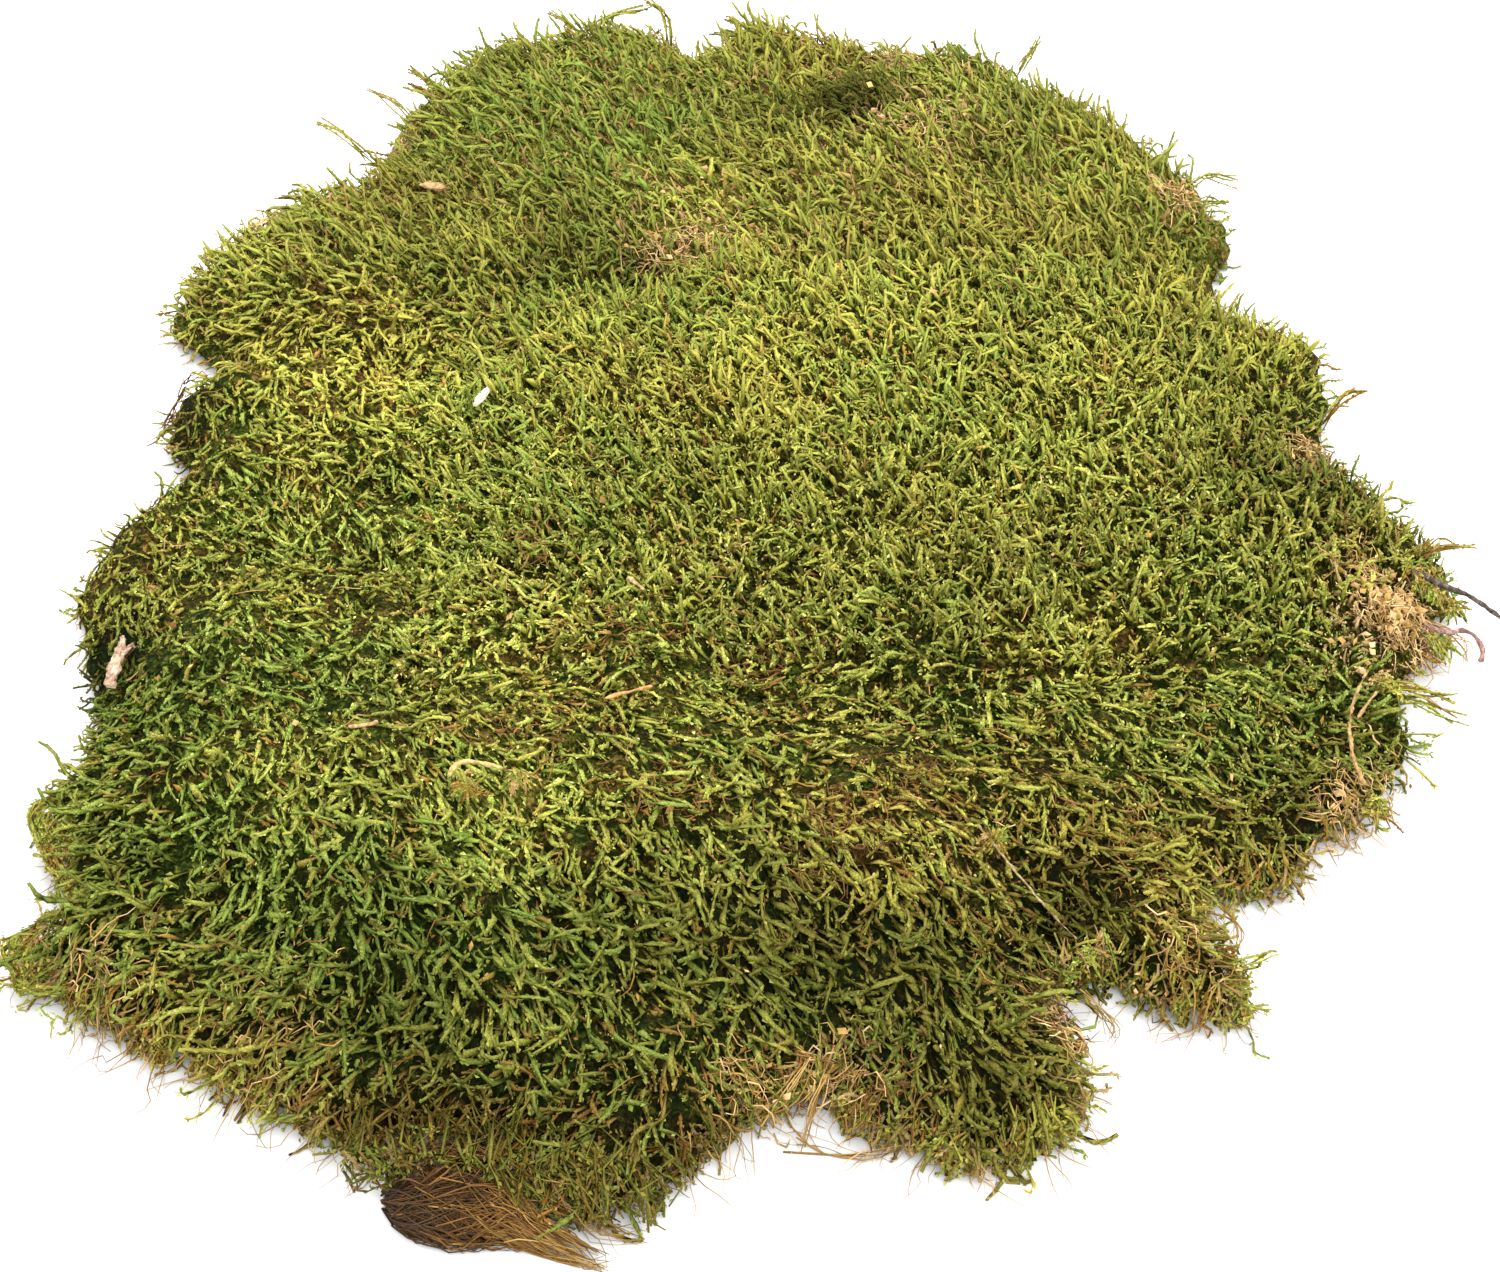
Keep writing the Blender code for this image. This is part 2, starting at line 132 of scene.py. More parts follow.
# painted light and shade: patches that make the shoots lighter or darker, partly the moss's own
# lighter and darker growth, partly the light and shade of its hummocks, creases and slopes painted
# into its colour
BASE_LIGHT_AND_SHADE = -0.24
LIGHT_AND_SHADE_PATCHES = [(-14, 68, 10, 0.30), (29, 99, 16, 0.20), (-38, 96, 14, 0.12),
                (-80, 18, 16, 0.26), (-64, -3, 22, 0.18), (-98, 52, 18, 0.14),
                (28, 26, 26, 0.12), (0, 50, 60, 0.10), (20, 118, 7, -0.30), (84, 14, 14, -0.16),
                (94, -12, 14, -0.16), (-106, 18, 7, -0.30), (-49, -45, 12, 0.14),
                (-46, -82, 16, 0.18), (-70, -84, 14, 0.14), (-13, -45, 8, -0.10),
                (-1, -63, 8, -0.10), (-5, -113, 18, -0.16), (42, -97, 7, -0.25),
                (29, -128, 9, -0.30), (-32, -130, 18, -0.16), (-108, -50, 7, -0.35),
                (-24, 58, 6, -0.40), (-70, -21, 5, -0.35), (-69, -3, 4, -0.35),
                (72, -100, 12, 0.22), (105, -36, 12, 0.25),
                (24, -120, 14, -0.04), (-40, -86, 13, 0.24), (18, 107, 10, -0.50),
                (2, 107, 9, -0.25), (-72, 79, 12, -0.20), (-41, 55, 11, -0.22),
                (-23, -62, 14, 0.12), (-22, -84, 10, 0.16), (97, -2, 13, -0.22),
                (79, -10, 11, -0.22), (81, -79, 10, -0.18), (-110, -47, 8, -0.35),
                (12, -92, 9, 0.20), (-2, -107, 10, -0.20), (44, -108, 10, -0.10),
                (-54, -116, 10, -0.20), (24, -117, 9, -0.05), (-11, -116, 8, 0.14),
                (55, 10, 11, 0.20), (38, -28, 11, -0.24), (14, -8, 12, -0.18),
                (41, -99, 7, -0.28), (43, -107, 6, -0.18),
                (18, 104, 8, -0.25), (82, -75, 10, -0.28), (16, -107, 8, -0.14),
                (16, -118, 9, -0.14), (-10, -129, 8, 0.25),
                (0, -129, 7, 0.15), (-23, -47, 8, 0.16), (-36, -47, 8, 0.20),
                (-110, -43, 8, -0.45)]

# the hem at the front left, whose shoots point out of the mat
HEM_PATCHES = [(-109, -66, 9, 1.0), (-105, -80, 9, 1.0), (-97, -95, 9, 1.0),
               (-87, -108, 9, 1.0), (-74, -117, 9, 1.0), (-61, -125, 9, 1.0),
               (-48, -131, 9, 1.0), (-35, -133, 9, 0.9), (-22, -131, 8, 0.6)]


# ---- small helpers -----------------------------------------------------------------------
def add_node(tree, kind, inputs=None, **settings):
    """Add a node. An input is given a constant, or a socket to be linked to it."""
    made = tree.nodes.new(kind)
    for name, value in settings.items():
        setattr(made, name, value)
    for key, value in (inputs or {}).items():
        if isinstance(value, bpy.types.NodeSocket):
            tree.links.new(value, made.inputs[key])
        else:
            made.inputs[key].default_value = value
    return made


def link_object(name, data):
    piece = bpy.data.objects.new(name, data)
    bpy.context.scene.collection.objects.link(piece)
    return piece


def painted(name, mesh, finish):
    """A piece with one material."""
    mesh.materials.clear()
    mesh.materials.append(finish)
    return link_object(name, mesh)


def mesh_from(name, points, faces):
    mesh = bpy.data.meshes.new(name)
    mesh.from_pydata([tuple(p) for p in points], [], faces)
    mesh.validate()
    return mesh


def mesh_of(name, bm):
    """A bmesh as a mesh. The bmesh is freed."""
    mesh = bpy.data.meshes.new(name)
    bm.to_mesh(mesh)
    bm.free()
    return mesh


def joined(name, meshes):
    """The meshes as one, in their order. They are removed."""
    bm = bmesh.new()
    for mesh in meshes:
        bm.from_mesh(mesh)
        bpy.data.meshes.remove(mesh)
    return mesh_of(name, bm)


def merged_copy(node):
    """A CAD node's mesh with its triangles joined up."""
    bm = bmesh.new()
    bm.from_mesh(frame["nodes"][node].data)
    bmesh.ops.remove_doubles(bm, verts=bm.verts, dist=1e-6)
    bm.normal_update()
    return bm


def plain_result(source, name):
    """What an object's modifiers make of its mesh, as a mesh. The object is removed."""
    bpy.context.view_layer.update()
    graph = bpy.context.evaluated_depsgraph_get()
    mesh = bpy.data.meshes.new_from_object(source.evaluated_get(graph),
                                           preserve_all_data_layers=True, depsgraph=graph)
    mesh.name = name
    source.modifiers.clear()
    bpy.data.objects.remove(source)
    return mesh


def subdivided(name, mesh, levels, simple=False):
    """A finer copy of a mesh, rounded off unless simple."""
    source = link_object(name + " source", mesh)
    smoother = source.modifiers.new("smoother", "SUBSURF")
    smoother.subdivision_type = "SIMPLE" if simple else "CATMULL_CLARK"
    smoother.levels = smoother.render_levels = levels
    return plain_result(source, name)


def points_of(mesh):
    """Where the points of a mesh lie, in millimetres."""
    spots = np.empty(3 * len(mesh.vertices))
    mesh.vertices.foreach_get("co", spots)
    return spots.reshape(-1, 3) / MM


def normals_of(mesh):
    return np.array([v.normal for v in mesh.vertices])


def move_points(mesh, spots):
    mesh.vertices.foreach_set("co", (spots * MM).ravel())
    mesh.update()


def set_attribute(mesh, name, values, kind="FLOAT"):
    """Give each point of a mesh a number or, as FLOAT_VECTOR, three."""
    layer = mesh.attributes.new(name, kind, "POINT")
    field = "vector" if kind == "FLOAT_VECTOR" else "value"
    layer.data.foreach_set(field, np.asarray(values, np.float32).ravel())


def blend_step(low, high, value):
    """A soft step from 0 at low to 1 at high, which may be the smaller of the two."""
    t = np.clip((value - low) / (high - low), 0.0, 1.0)
    return t * t * (3 - 2 * t)


def patches_at(points, patches):
    """The sum of round patches at each of the points, which are in millimetres."""
    total = np.zeros(len(points))
    for x, y, reach, strength in patches:
        away = ((points[:, 0] - x) ** 2 + (points[:, 1] - y) ** 2) / reach ** 2
        total += strength * np.exp(-away)
    return total


def noise_at(points, length, layer):
    """Smooth noise at points in millimetres, with lumps of a length. Each layer is another."""
    return np.array([noise.noise(Vector((x / length, y / length, layer + z / length)))
                     for x, y, z in points])


def spoke(turn, side, across):
    """A direction out of a line, from two that are square to it."""
    return math.cos(turn) * side + math.sin(turn) * across


def tube_faces(start, rings):
    """Faces of a closed three-sided tube, whose rings of points follow each other."""
    last = start + 3 * (rings - 1)
    faces = [(k + a, k + b, k + 3 + b, k + 3 + a)
             for k in range(start, last, 3) for a, b in ((0, 1), (1, 2), (2, 0))]
    return faces + [(start + 2, start + 1, start), (last, last + 1, last + 2)]


# ---- materials ---------------------------------------------------------------------------
# colours from dark to light, and how far along from 0 to 1 each lies
LIVING_STEPS = (0.0, 0.35, 0.68, 1.0)
COOL_GREENS = ((0.010, 0.026, 0.001), (0.088, 0.144, 0.016), (0.262, 0.335, 0.064),
               (0.500, 0.550, 0.180))
WARM_GREENS = ((0.055, 0.038, 0.001), (0.272, 0.214, 0.021), (0.525, 0.455, 0.094),
               (0.725, 0.670, 0.235))
DRY_STEPS = (0.0, 0.45, 0.8, 1.0)
OCHRES = ((0.040, 0.026, 0.003), (0.220, 0.150, 0.020), (0.480, 0.360, 0.085),
          (0.680, 0.570, 0.240))
REDS = ((0.040, 0.016, 0.003), (0.220, 0.090, 0.018), (0.440, 0.230, 0.060), (0.600, 0.390, 0.180))
TANS = ((0.110, 0.058, 0.018), (0.400, 0.250, 0.100), (0.660, 0.480, 0.250), (0.820, 0.690, 0.480))
# the felt's greens and browns run down to near black: partly its old growth's own dark colour, partly
# painted shade in the gaps between the shoots
FELT_STEPS = (0.25, 0.50, 0.68, 0.90)
FELT_GREENS = ((0.003, 0.006, 0.001), (0.012, 0.019, 0.002), (0.050, 0.062, 0.006),
               (0.160, 0.160, 0.024))
FELT_BROWNS = ((0.006, 0.003, 0.001), (0.028, 0.014, 0.003), (0.090, 0.042, 0.009),
               (0.240, 0.140, 0.050))
FIBRE_STEPS = (0.0, 0.2, 0.4, 0.6, 0.8, 1.0)
FIBRE_COLOURS = ((0.042, 0.023, 0.012), (0.078, 0.042, 0.017), (0.155, 0.068, 0.018),
                 (0.250, 0.145, 0.032), (0.390, 0.240, 0.080), (0.590, 0.390, 0.190))
LITTER_STEPS = (0.1, 0.5, 0.85)
FIBRE_SHADES = (0.4, 1.45)     # a fibre's colour is scaled by a number between these
FLECK_SCALE = 1600.0           # specks on the leaves, to the metre
EVEN_LIGHT = 0.57              # where shoots are drawn evenly, their light draws near this
LIGHT_AND_SHADE_GAIN = 1.25               # painted light and shade of 1 adds this share to the brightness
LEAST_BRIGHT = 0.25            # and no painted shade takes it under this


def new_material(name):
    material = bpy.data.materials.new(name)
    material.use_nodes = True
    return material, material.node_tree, material.node_tree.nodes["Principled BSDF"]


def colour_ramp(tree, factor, places, colours):
    ramp = add_node(tree, "ShaderNodeValToRGB", {"Fac": factor})
    elements = ramp.color_ramp.elements
    while len(elements) < len(colours):
        elements.new(0.5)
    for element, place, colour in zip(elements, places, colours):
        element.position = place
        element.color = (*colour, 1)
    return ramp.outputs["Color"]


def attribute(tree, name, output="Fac"):
    return add_node(tree, "ShaderNodeAttribute", attribute_name=name).outputs[output]


def parts_of(tree, vector):
    return add_node(tree, "ShaderNodeSeparateXYZ", {"Vector": vector}).outputs


def maths(tree, operation, *values):
    return add_node(tree, "ShaderNodeMath", dict(enumerate(values)),
                    operation=operation).outputs["Value"]


def vector_maths(tree, operation, a, b=(0, 0, 0)):
    """Vector maths. The second value is a number for SCALE."""
    made = add_node(tree, "ShaderNodeVectorMath",
                    {0: a, "Scale" if operation == "SCALE" else 1: b}, operation=operation)
    return made.outputs["Value" if operation == "DOT_PRODUCT" else "Vector"]


def sum_of(tree, *parts, offset=0.0):
    """Sockets times their shares, added up with an offset and kept between 0 and 1."""
    total = offset
    for socket, share in parts:
        total = maths(tree, "MULTIPLY_ADD", socket, share, total)
    total.node.use_clamp = True
    return total


def mix_colour(tree, factor, a, b):
    return add_node(tree, "ShaderNodeMix", {0: factor, 6: a, 7: b}, data_type="RGBA").outputs[2]


def object_place(tree):
    return add_node(tree, "ShaderNodeTexCoord").outputs["Object"]


def finish_surface(tree, shader, colour, roughness, shine, relief=None, depth=0.0):
    """Colour the shader, and let a height from 0 to 1 stand out by a depth in millimetres."""
    tree.links.new(colour, shader.inputs["Base Color"])
    shader.inputs["Roughness"].default_value = roughness
    shader.inputs["Specular IOR Level"].default_value = shine
    if relief is not None:
        bump = add_node(tree, "ShaderNodeBump", {"Height": relief, "Strength": 1.0,
                                                 "Distance": depth * MM})
        tree.links.new(bump.outputs["Normal"], shader.inputs["Normal"])


def new_group(name, inputs, output):
    """An empty shader node group with named sockets, and what it is given."""
    tree = bpy.data.node_groups.new(name, "ShaderNodeTree")
    for socket, kind in inputs.items():
        tree.interface.new_socket(socket, in_out="INPUT", socket_type="NodeSocket" + kind)
    tree.interface.new_socket(output, in_out="OUTPUT", socket_type="NodeSocketFloat")
    return tree, add_node(tree, "NodeGroupInput").outputs


def streak_group():
    """Node group: noise that is drawn out unevenly, for dry plant parts."""
    tree, given = new_group("streaks", {"Place": "Vector", "Scale": "Float"}, "Height")
    noisy = add_node(tree, "ShaderNodeTexNoise", {"Vector": given["Place"], "Scale": given["Scale"],
                                                  "Detail": 3.0, "Roughness": 0.65,
                                                  "Distortion": 0.8})
    add_node(tree, "NodeGroupOutput", {0: noisy.outputs["Fac"]})
    return tree


def streaked(tree, place, length):
    """The streaks in a material, at a length in millimetres."""
    return add_node(tree, "ShaderNodeGroup", {"Place": place, "Scale": 1 / (length * MM)},
                    node_tree=STREAKS).outputs["Height"]


def leaf_scales():
    """Node group: the overlapping leaves round a stem, from where a point lies on it."""
    tree, given = new_group("leaf scales",
                            {"Ring": "Vector", "Around": "Float", "Rows": "Float"}, "Height")
    ring = parts_of(tree, given["Ring"])
    turn = maths(tree, "MULTIPLY", maths(tree, "ARCTAN2", ring["Y"], ring["X"]), given["Around"])
    row = maths(tree, "MULTIPLY", ring["Z"], given["Rows"])
    rising = maths(tree, "FRACT", maths(tree, "ADD", row, turn))
    falling = maths(tree, "FRACT", maths(tree, "SUBTRACT", row, turn))
    add_node(tree, "NodeGroupOutput", {0: maths(tree, "MULTIPLY", rising, falling)})
    return tree


def moss_material():
    """Shoot colours: dark at the base, painted shade where the leaves overlap, cool to yellow by
    place, painted light and shade by place, and dry shoots.
    """
    material, tree, shader = new_material("moss shoots")
    scales_and_shade = add_node(tree, "ShaderNodeGroup",
                      {"Ring": attribute(tree, "ring", "Vector"), "Rows": 1 / LEAF_ROW,
                       "Around": LEAVES_AROUND / (2 * math.pi)},
                      node_tree=leaf_scales()).outputs["Height"]
    own = parts_of(tree, attribute(tree, "own", "Vector"))
    even = attribute(tree, "even")
    fleck = add_node(tree, "ShaderNodeTexNoise", {"Vector": object_place(tree), "Detail": 1.0,
                                                  "Scale": FLECK_SCALE}).outputs["Fac"]
    # how light a spot is: by height up the shoot, by leaf, by the leaf scales, whose dark edges are
    # painted shade where the leaves overlap, and by the shoot's own shade
    light = sum_of(tree, (attribute(tree, "along"), 0.10), (attribute(tree, "leaf"), 0.22),
                   (scales_and_shade, 0.80), (own["X"], 0.17), (fleck, 0.45), offset=-0.08)
    levelled = maths(tree, "SUBTRACT", EVEN_LIGHT, light)
    light = maths(tree, "ADD", light, maths(tree, "MULTIPLY", even, levelled))
    hue = sum_of(tree, (attribute(tree, "tone"), 1.0), (own["Y"], 0.5), (fleck, 0.5), offset=-0.5)
    living = mix_colour(tree, hue, colour_ramp(tree, light, LIVING_STEPS, COOL_GREENS),
                        colour_ramp(tree, light, LIVING_STEPS, WARM_GREENS))
    ochre, red, tan = (colour_ramp(tree, light, DRY_STEPS, colours)
                       for colours in (OCHRES, REDS, TANS))
    redness = sum_of(tree, (own["Y"], 2.5), offset=-1.5)
    dry = mix_colour(tree, attribute(tree, "pale"), mix_colour(tree, redness, ochre, red), tan)
    colour = mix_colour(tree, own["Z"], living, dry)
    # painted light and shade make the colour lighter or darker
    bright = maths(tree, "MULTIPLY_ADD", attribute(tree, "glow"), LIGHT_AND_SHADE_GAIN, 1.0)
    bright = maths(tree, "MAXIMUM", bright, LEAST_BRIGHT)
    relief = maths(tree, "MULTIPLY", scales_and_shade, maths(tree, "SUBTRACT", 1.0, even))
    finish_surface(tree, shader, vector_maths(tree, "SCALE", colour, bright), roughness=0.7,
                   shine=0.0, relief=relief, depth=0.3)
    return material


def felt_material():
    """Old growth that shows between the shoots: green and brown, painted dark as shade in the gaps
    between them, and fibrous below.
    """
    material, tree, shader = new_material("moss felt")
    broad, fine, patchy = (streaked(tree, object_place(tree), length) for length in (3.0, 0.9, 6.0))
    light = sum_of(tree, (broad, 0.5), (fine, 1.6), (attribute(tree, "glow"), 0.4), offset=-0.55)
    browner = sum_of(tree, (patchy, 3.0), (attribute(tree, "under"), 2.0),
                     (attribute(tree, "tone"), 0.8), offset=-1.55)
    colour = mix_colour(tree, browner, colour_ramp(tree, light, FELT_STEPS, FELT_GREENS),
                        colour_ramp(tree, light, FELT_STEPS, FELT_BROWNS))
    finish_surface(tree, shader, colour, roughness=1.0, shine=0.05, relief=fine, depth=0.9)
    return material


def fibre_material():
    """Dead fibres, from dark grey brown through ochre to pale pinkish tan."""
    material, tree, shader = new_material("dry fibres")
    own = parts_of(tree, attribute(tree, "own", "Vector"))
    hue = colour_ramp(tree, own["Y"], FIBRE_STEPS, FIBRE_COLOURS)
    shade = sum_of(tree, (own["X"], 0.6), (streaked(tree, object_place(tree), 1.2), 0.8),
                   offset=-0.2)
    shade = add_node(tree, "ShaderNodeMapRange", {"Value": shade, "To Min": FIBRE_SHADES[0],
                                                  "To Max": FIBRE_SHADES[1]}).outputs["Result"]
    finish_surface(tree, shader, vector_maths(tree, "SCALE", hue, shade), roughness=0.75,
                   shine=0.1)
    return material


def litter_material(name, colours, grain):
    """Dry stems, bark and chips: streaks and specks of a dark, a middle and a light colour."""
    material, tree, shader = new_material(name)
    place = object_place(tree)
    fine = streaked(tree, place, grain)
    light = sum_of(tree, (streaked(tree, place, 3.0 * grain), 1.0), (fine, 1.4), offset=-0.7)
    finish_surface(tree, shader, colour_ramp(tree, light, LITTER_STEPS, colours),
                   roughness=0.7, shine=0.25, relief=fine, depth=0.3)
    return material


def floor_material():
    material, _, shader = new_material("white floor")
    shader.inputs["Base Color"].default_value = (FLOOR_GREY, FLOOR_GREY, FLOOR_GREY, 1)
    shader.inputs["Roughness"].default_value = 0.9
    return material


# ---- one leafy shoot ---------------------------------------------------------------------
LINE_POINTS = 31               # points along a shoot's middle line
STEM_RADIUS = 0.46             # with the leaves that lie close to it, in millimetres
STEM_CROWDING = 0.85           # less than 1 sets the stem's rings closer at the tip
STEM_LIGHT = 0.3               # how light the stem is, from 0 at a leaf's foot to 1 at its tip
LEAF_ROW = 0.60                # length of stem to each row of leaves
LEAVES_AROUND = 3
DRY_SHRINKAGE = 0.28           # a dry shoot is this much smaller

# length in millimetres, bend over the whole, hook at the end and sideways sway, in radians
SHOOT_FORMS = [(5.5, 0.3, 0.5, 0.3), (6.5, 0.6, 1.6, 0.5), (7.5, 1.4, 0.4, 0.5),
               (8.0, 1.7, 0.6, -0.6), (6.0, -0.2, 1.2, 0.7), (8.0, 1.1, -1.6, 0.5),
               (7.0, 1.0, 1.3, -0.8), (8.5, 0.8, 2.0, 0.6), (9.0, 1.3, -0.9, 1.0),
               (6.5, 1.9, 1.2, 0.4), (7.5, 0.4, 0.8, -1.0), (5.5, 1.2, 1.8, 0.6)]
LONG_FORMS = [(9.0, 0.9, 0.5, 0.6), (10.0, 1.3, -0.9, 0.8), (11.0, 0.8, 0.7, -1.0),
              (9.5, 1.5, -0.6, 1.1), (12.0, 1.0, 0.6, 0.9), (8.0, 1.3, 1.5, -0.8),
              (10.5, 0.6, -0.8, 1.2), (9.0, 1.7, 0.4, -0.6), (12.0, 1.1, -1.2, -0.9),
              (8.5, 0.7, 1.8, 0.7), (11.0, 1.5, -0.4, 0.5), (9.5, 1.0, 2.2, -1.1)]


def shoot_line(length, bend, hook, sway):
    """Points along a shoot that starts upright at the origin and bends over towards +X."""
    steps = np.arange(1, LINE_POINTS) / (LINE_POINTS - 1)
    angle = bend * steps + hook * blend_step(0.5, 1.0, steps)
    side = 0.6 * np.sin(4 * sway * steps * (1 - steps))
    path = np.column_stack((np.sin(angle), side, np.cos(angle)))
    path /= np.linalg.norm(path, axis=1)[:, None]
    return np.vstack((np.zeros(3), np.cumsum(path, axis=0))) * length / (LINE_POINTS - 1)


def curve_through(points, count):
    """Points on the Catmull-Rom curve through the given ones."""
    points = np.asarray(points, float)
    knots = np.vstack((2 * points[0] - points[1], points, 2 * points[-1] - points[-2]))
    marks = np.linspace(0, len(points) - 1, count)
    start = np.minimum(marks.astype(int), len(points) - 2)
    t = (marks - start)[:, None]
    a, b, c, d = (knots[start + k] for k in range(4))
    return 0.5 * (2 * b + (c - a) * t + (2 * a - 5 * b + 4 * c - d) * t ** 2
                  + (3 * b - a - 3 * c + d) * t ** 3)


def frames_along(line):
    """At each point of a line: its direction, and two more that are square to it."""
    along = np.gradient(line, axis=0)
    along /= np.linalg.norm(along, axis=1)[:, None]
    beside = np.array((0.0, 1.0, 0.2))
    if np.abs(along @ beside).max() > 0.9:
        beside = np.array((0.9, 0.1, 0.5))
    side = np.cross(along, beside)
    side /= np.linalg.norm(side, axis=1)[:, None]
    return along, side, np.cross(along, side)


def stem_points(line, side, across, rings, radius, random):
    """Points round a stem that swells and thins again, their turns and how far along they are."""
    marks = np.linspace(0, 1, rings) ** STEM_CROWDING
    points, turns = [], []
    for ring, t in enumerate(marks):
        k = round(t * (LINE_POINTS - 1))
        thick = radius * min(1.0, 0.6 + 1.4 * t) * (1 - 0.35 * max(0.0, t - 0.8) / 0.2)
        knob = 1.15 if ring % 2 else 0.88
        for corner in range(3):
            turn = 2 * math.pi * (corner + 0.3 * ring) / 3
            reach = thick * random.uniform(0.88, 1.12) * knob
            points.append(line[k] + reach * spoke(turn, side[k], across[k]))
            turns.append(turn)
    return points, turns, list(np.repeat(marks, 3))


def leaf_points(foot, axis, out, length, width, random):
    """A folded kite: its foot, its two corners and its tip, which may curl either way."""
    wide = np.cross(axis, out)
    wide /= np.linalg.norm(wide)
    cup = np.cross(wide, axis)
    middle = foot + axis * length * 0.45
    half = width * 0.5
    tip = foot + axis * length - cup * length * random.uniform(-0.05, 0.2)
    return [foot, middle + wide * half + cup * half * 0.55,
            middle - wide * half + cup * half * 0.55, tip]


def shoot(name, line, rings, leaves, radius, leaf_length, leaf_width, opening, seed):
    """A plump three-sided stem with leaves that stand off it, as a mesh in metres."""
    random = np.random.default_rng(seed)
    along, side, across = frames_along(line)
    points, turns, marks = stem_points(line, side, across, rings, radius, random)
    ups, tips = marks.copy(), [STEM_LIGHT] * len(points)
    faces = tube_faces(0, rings)
    stem_faces = len(faces)

    # the leaves lie closer to the stem near the tip
    for i in range(leaves):
        t = 0.16 + 0.82 * (i + 0.5) / leaves
        low = int(t * (LINE_POINTS - 1))
        share = t * (LINE_POINTS - 1) - low
        centre = line[low] * (1 - share) + line[low + 1] * share
        turn = i * GOLDEN_TURN + random.uniform(-0.35, 0.35)
        out = spoke(turn, side[low], across[low])
        size = (0.75 + 0.35 * math.sin(math.pi * t)) * random.uniform(0.85, 1.15)
        spread = opening * (1.15 - 0.5 * t) * random.uniform(0.7, 1.3)
        axis = math.cos(spread) * along[low] + math.sin(spread) * out
        foot = centre + out * radius * 0.72 * (1 - 0.45 * t)
        start = len(points)
        points += leaf_points(foot, axis, out, leaf_length * size, leaf_width * size, random)
        faces += [(start, start + 1, start + 3), (start, start + 3, start + 2)]
        ups += [t, t, t, min(1.0, t + 0.05)]
        tips += [0.0, 0.55, 0.55, 1.0]
        turns += [turn] * 4
        marks += [t] * 4

    mesh = mesh_from(name, np.array(points) * MM, faces)
    smooth = [number < stem_faces for number in range(len(faces))]
    mesh.polygons.foreach_set("use_smooth", smooth)
    length = np.linalg.norm(np.diff(line, axis=0), axis=1).sum()
    set_attribute(mesh, "along", ups)
    set_attribute(mesh, "leaf", tips)
    set_attribute(mesh, "ring", np.column_stack((np.cos(turns), np.sin(turns),
                                                 np.array(marks) * length)), "FLOAT_VECTOR")
    return mesh


def kinds_collection(name, meshes):
    kinds = bpy.data.collections.new(name)
    bpy.context.scene.collection.children.link(kinds)
    for mesh in meshes:
        kinds.objects.link(bpy.data.objects.new(mesh.name, mesh))
    return kinds


def remove_kinds(kinds):
    for kind in list(kinds.objects):
        bpy.data.objects.remove(kind)
    bpy.data.collections.remove(kinds)


def leafy_kinds():
    """Knobbly shoots of the middle, and after them the same number of long smoother ones."""
    meshes = [shoot(f"shoot {i:02d}", shoot_line(*form), rings=4 if form[2] > 1 else 3, leaves=8,
                    radius=STEM_RADIUS * (0.66 + 0.06 * (i % 5)), leaf_length=0.85,
                    leaf_width=0.6, opening=math.radians(33 + 3 * (i % 4)), seed=40 + i)
              for i, form in enumerate(SHOOT_FORMS)]
    meshes += [shoot(f"shoot {20 + i}", 0.93 * shoot_line(*form), rings=6, leaves=8,
                     radius=STEM_RADIUS * (0.76 + 0.06 * (i % 5)), leaf_length=0.85,
                     leaf_width=0.55, opening=math.radians(17 + 3 * (i % 4)), seed=60 + i)
               for i, form in enumerate(LONG_FORMS)]
    return kinds_collection("shoot kinds", meshes)


def lower_kinds():
    """Plainer shoots for the layer below."""
    meshes = [shoot(f"low shoot {i:02d}", 0.9 * shoot_line(*form), rings=3, leaves=3,
                    radius=STEM_RADIUS, leaf_length=1.0, leaf_width=0.6,
                    opening=math.radians(35), seed=80 + i)
              for i, form in enumerate(SHOOT_FORMS)]
    return kinds_collection("low shoot kinds", meshes)


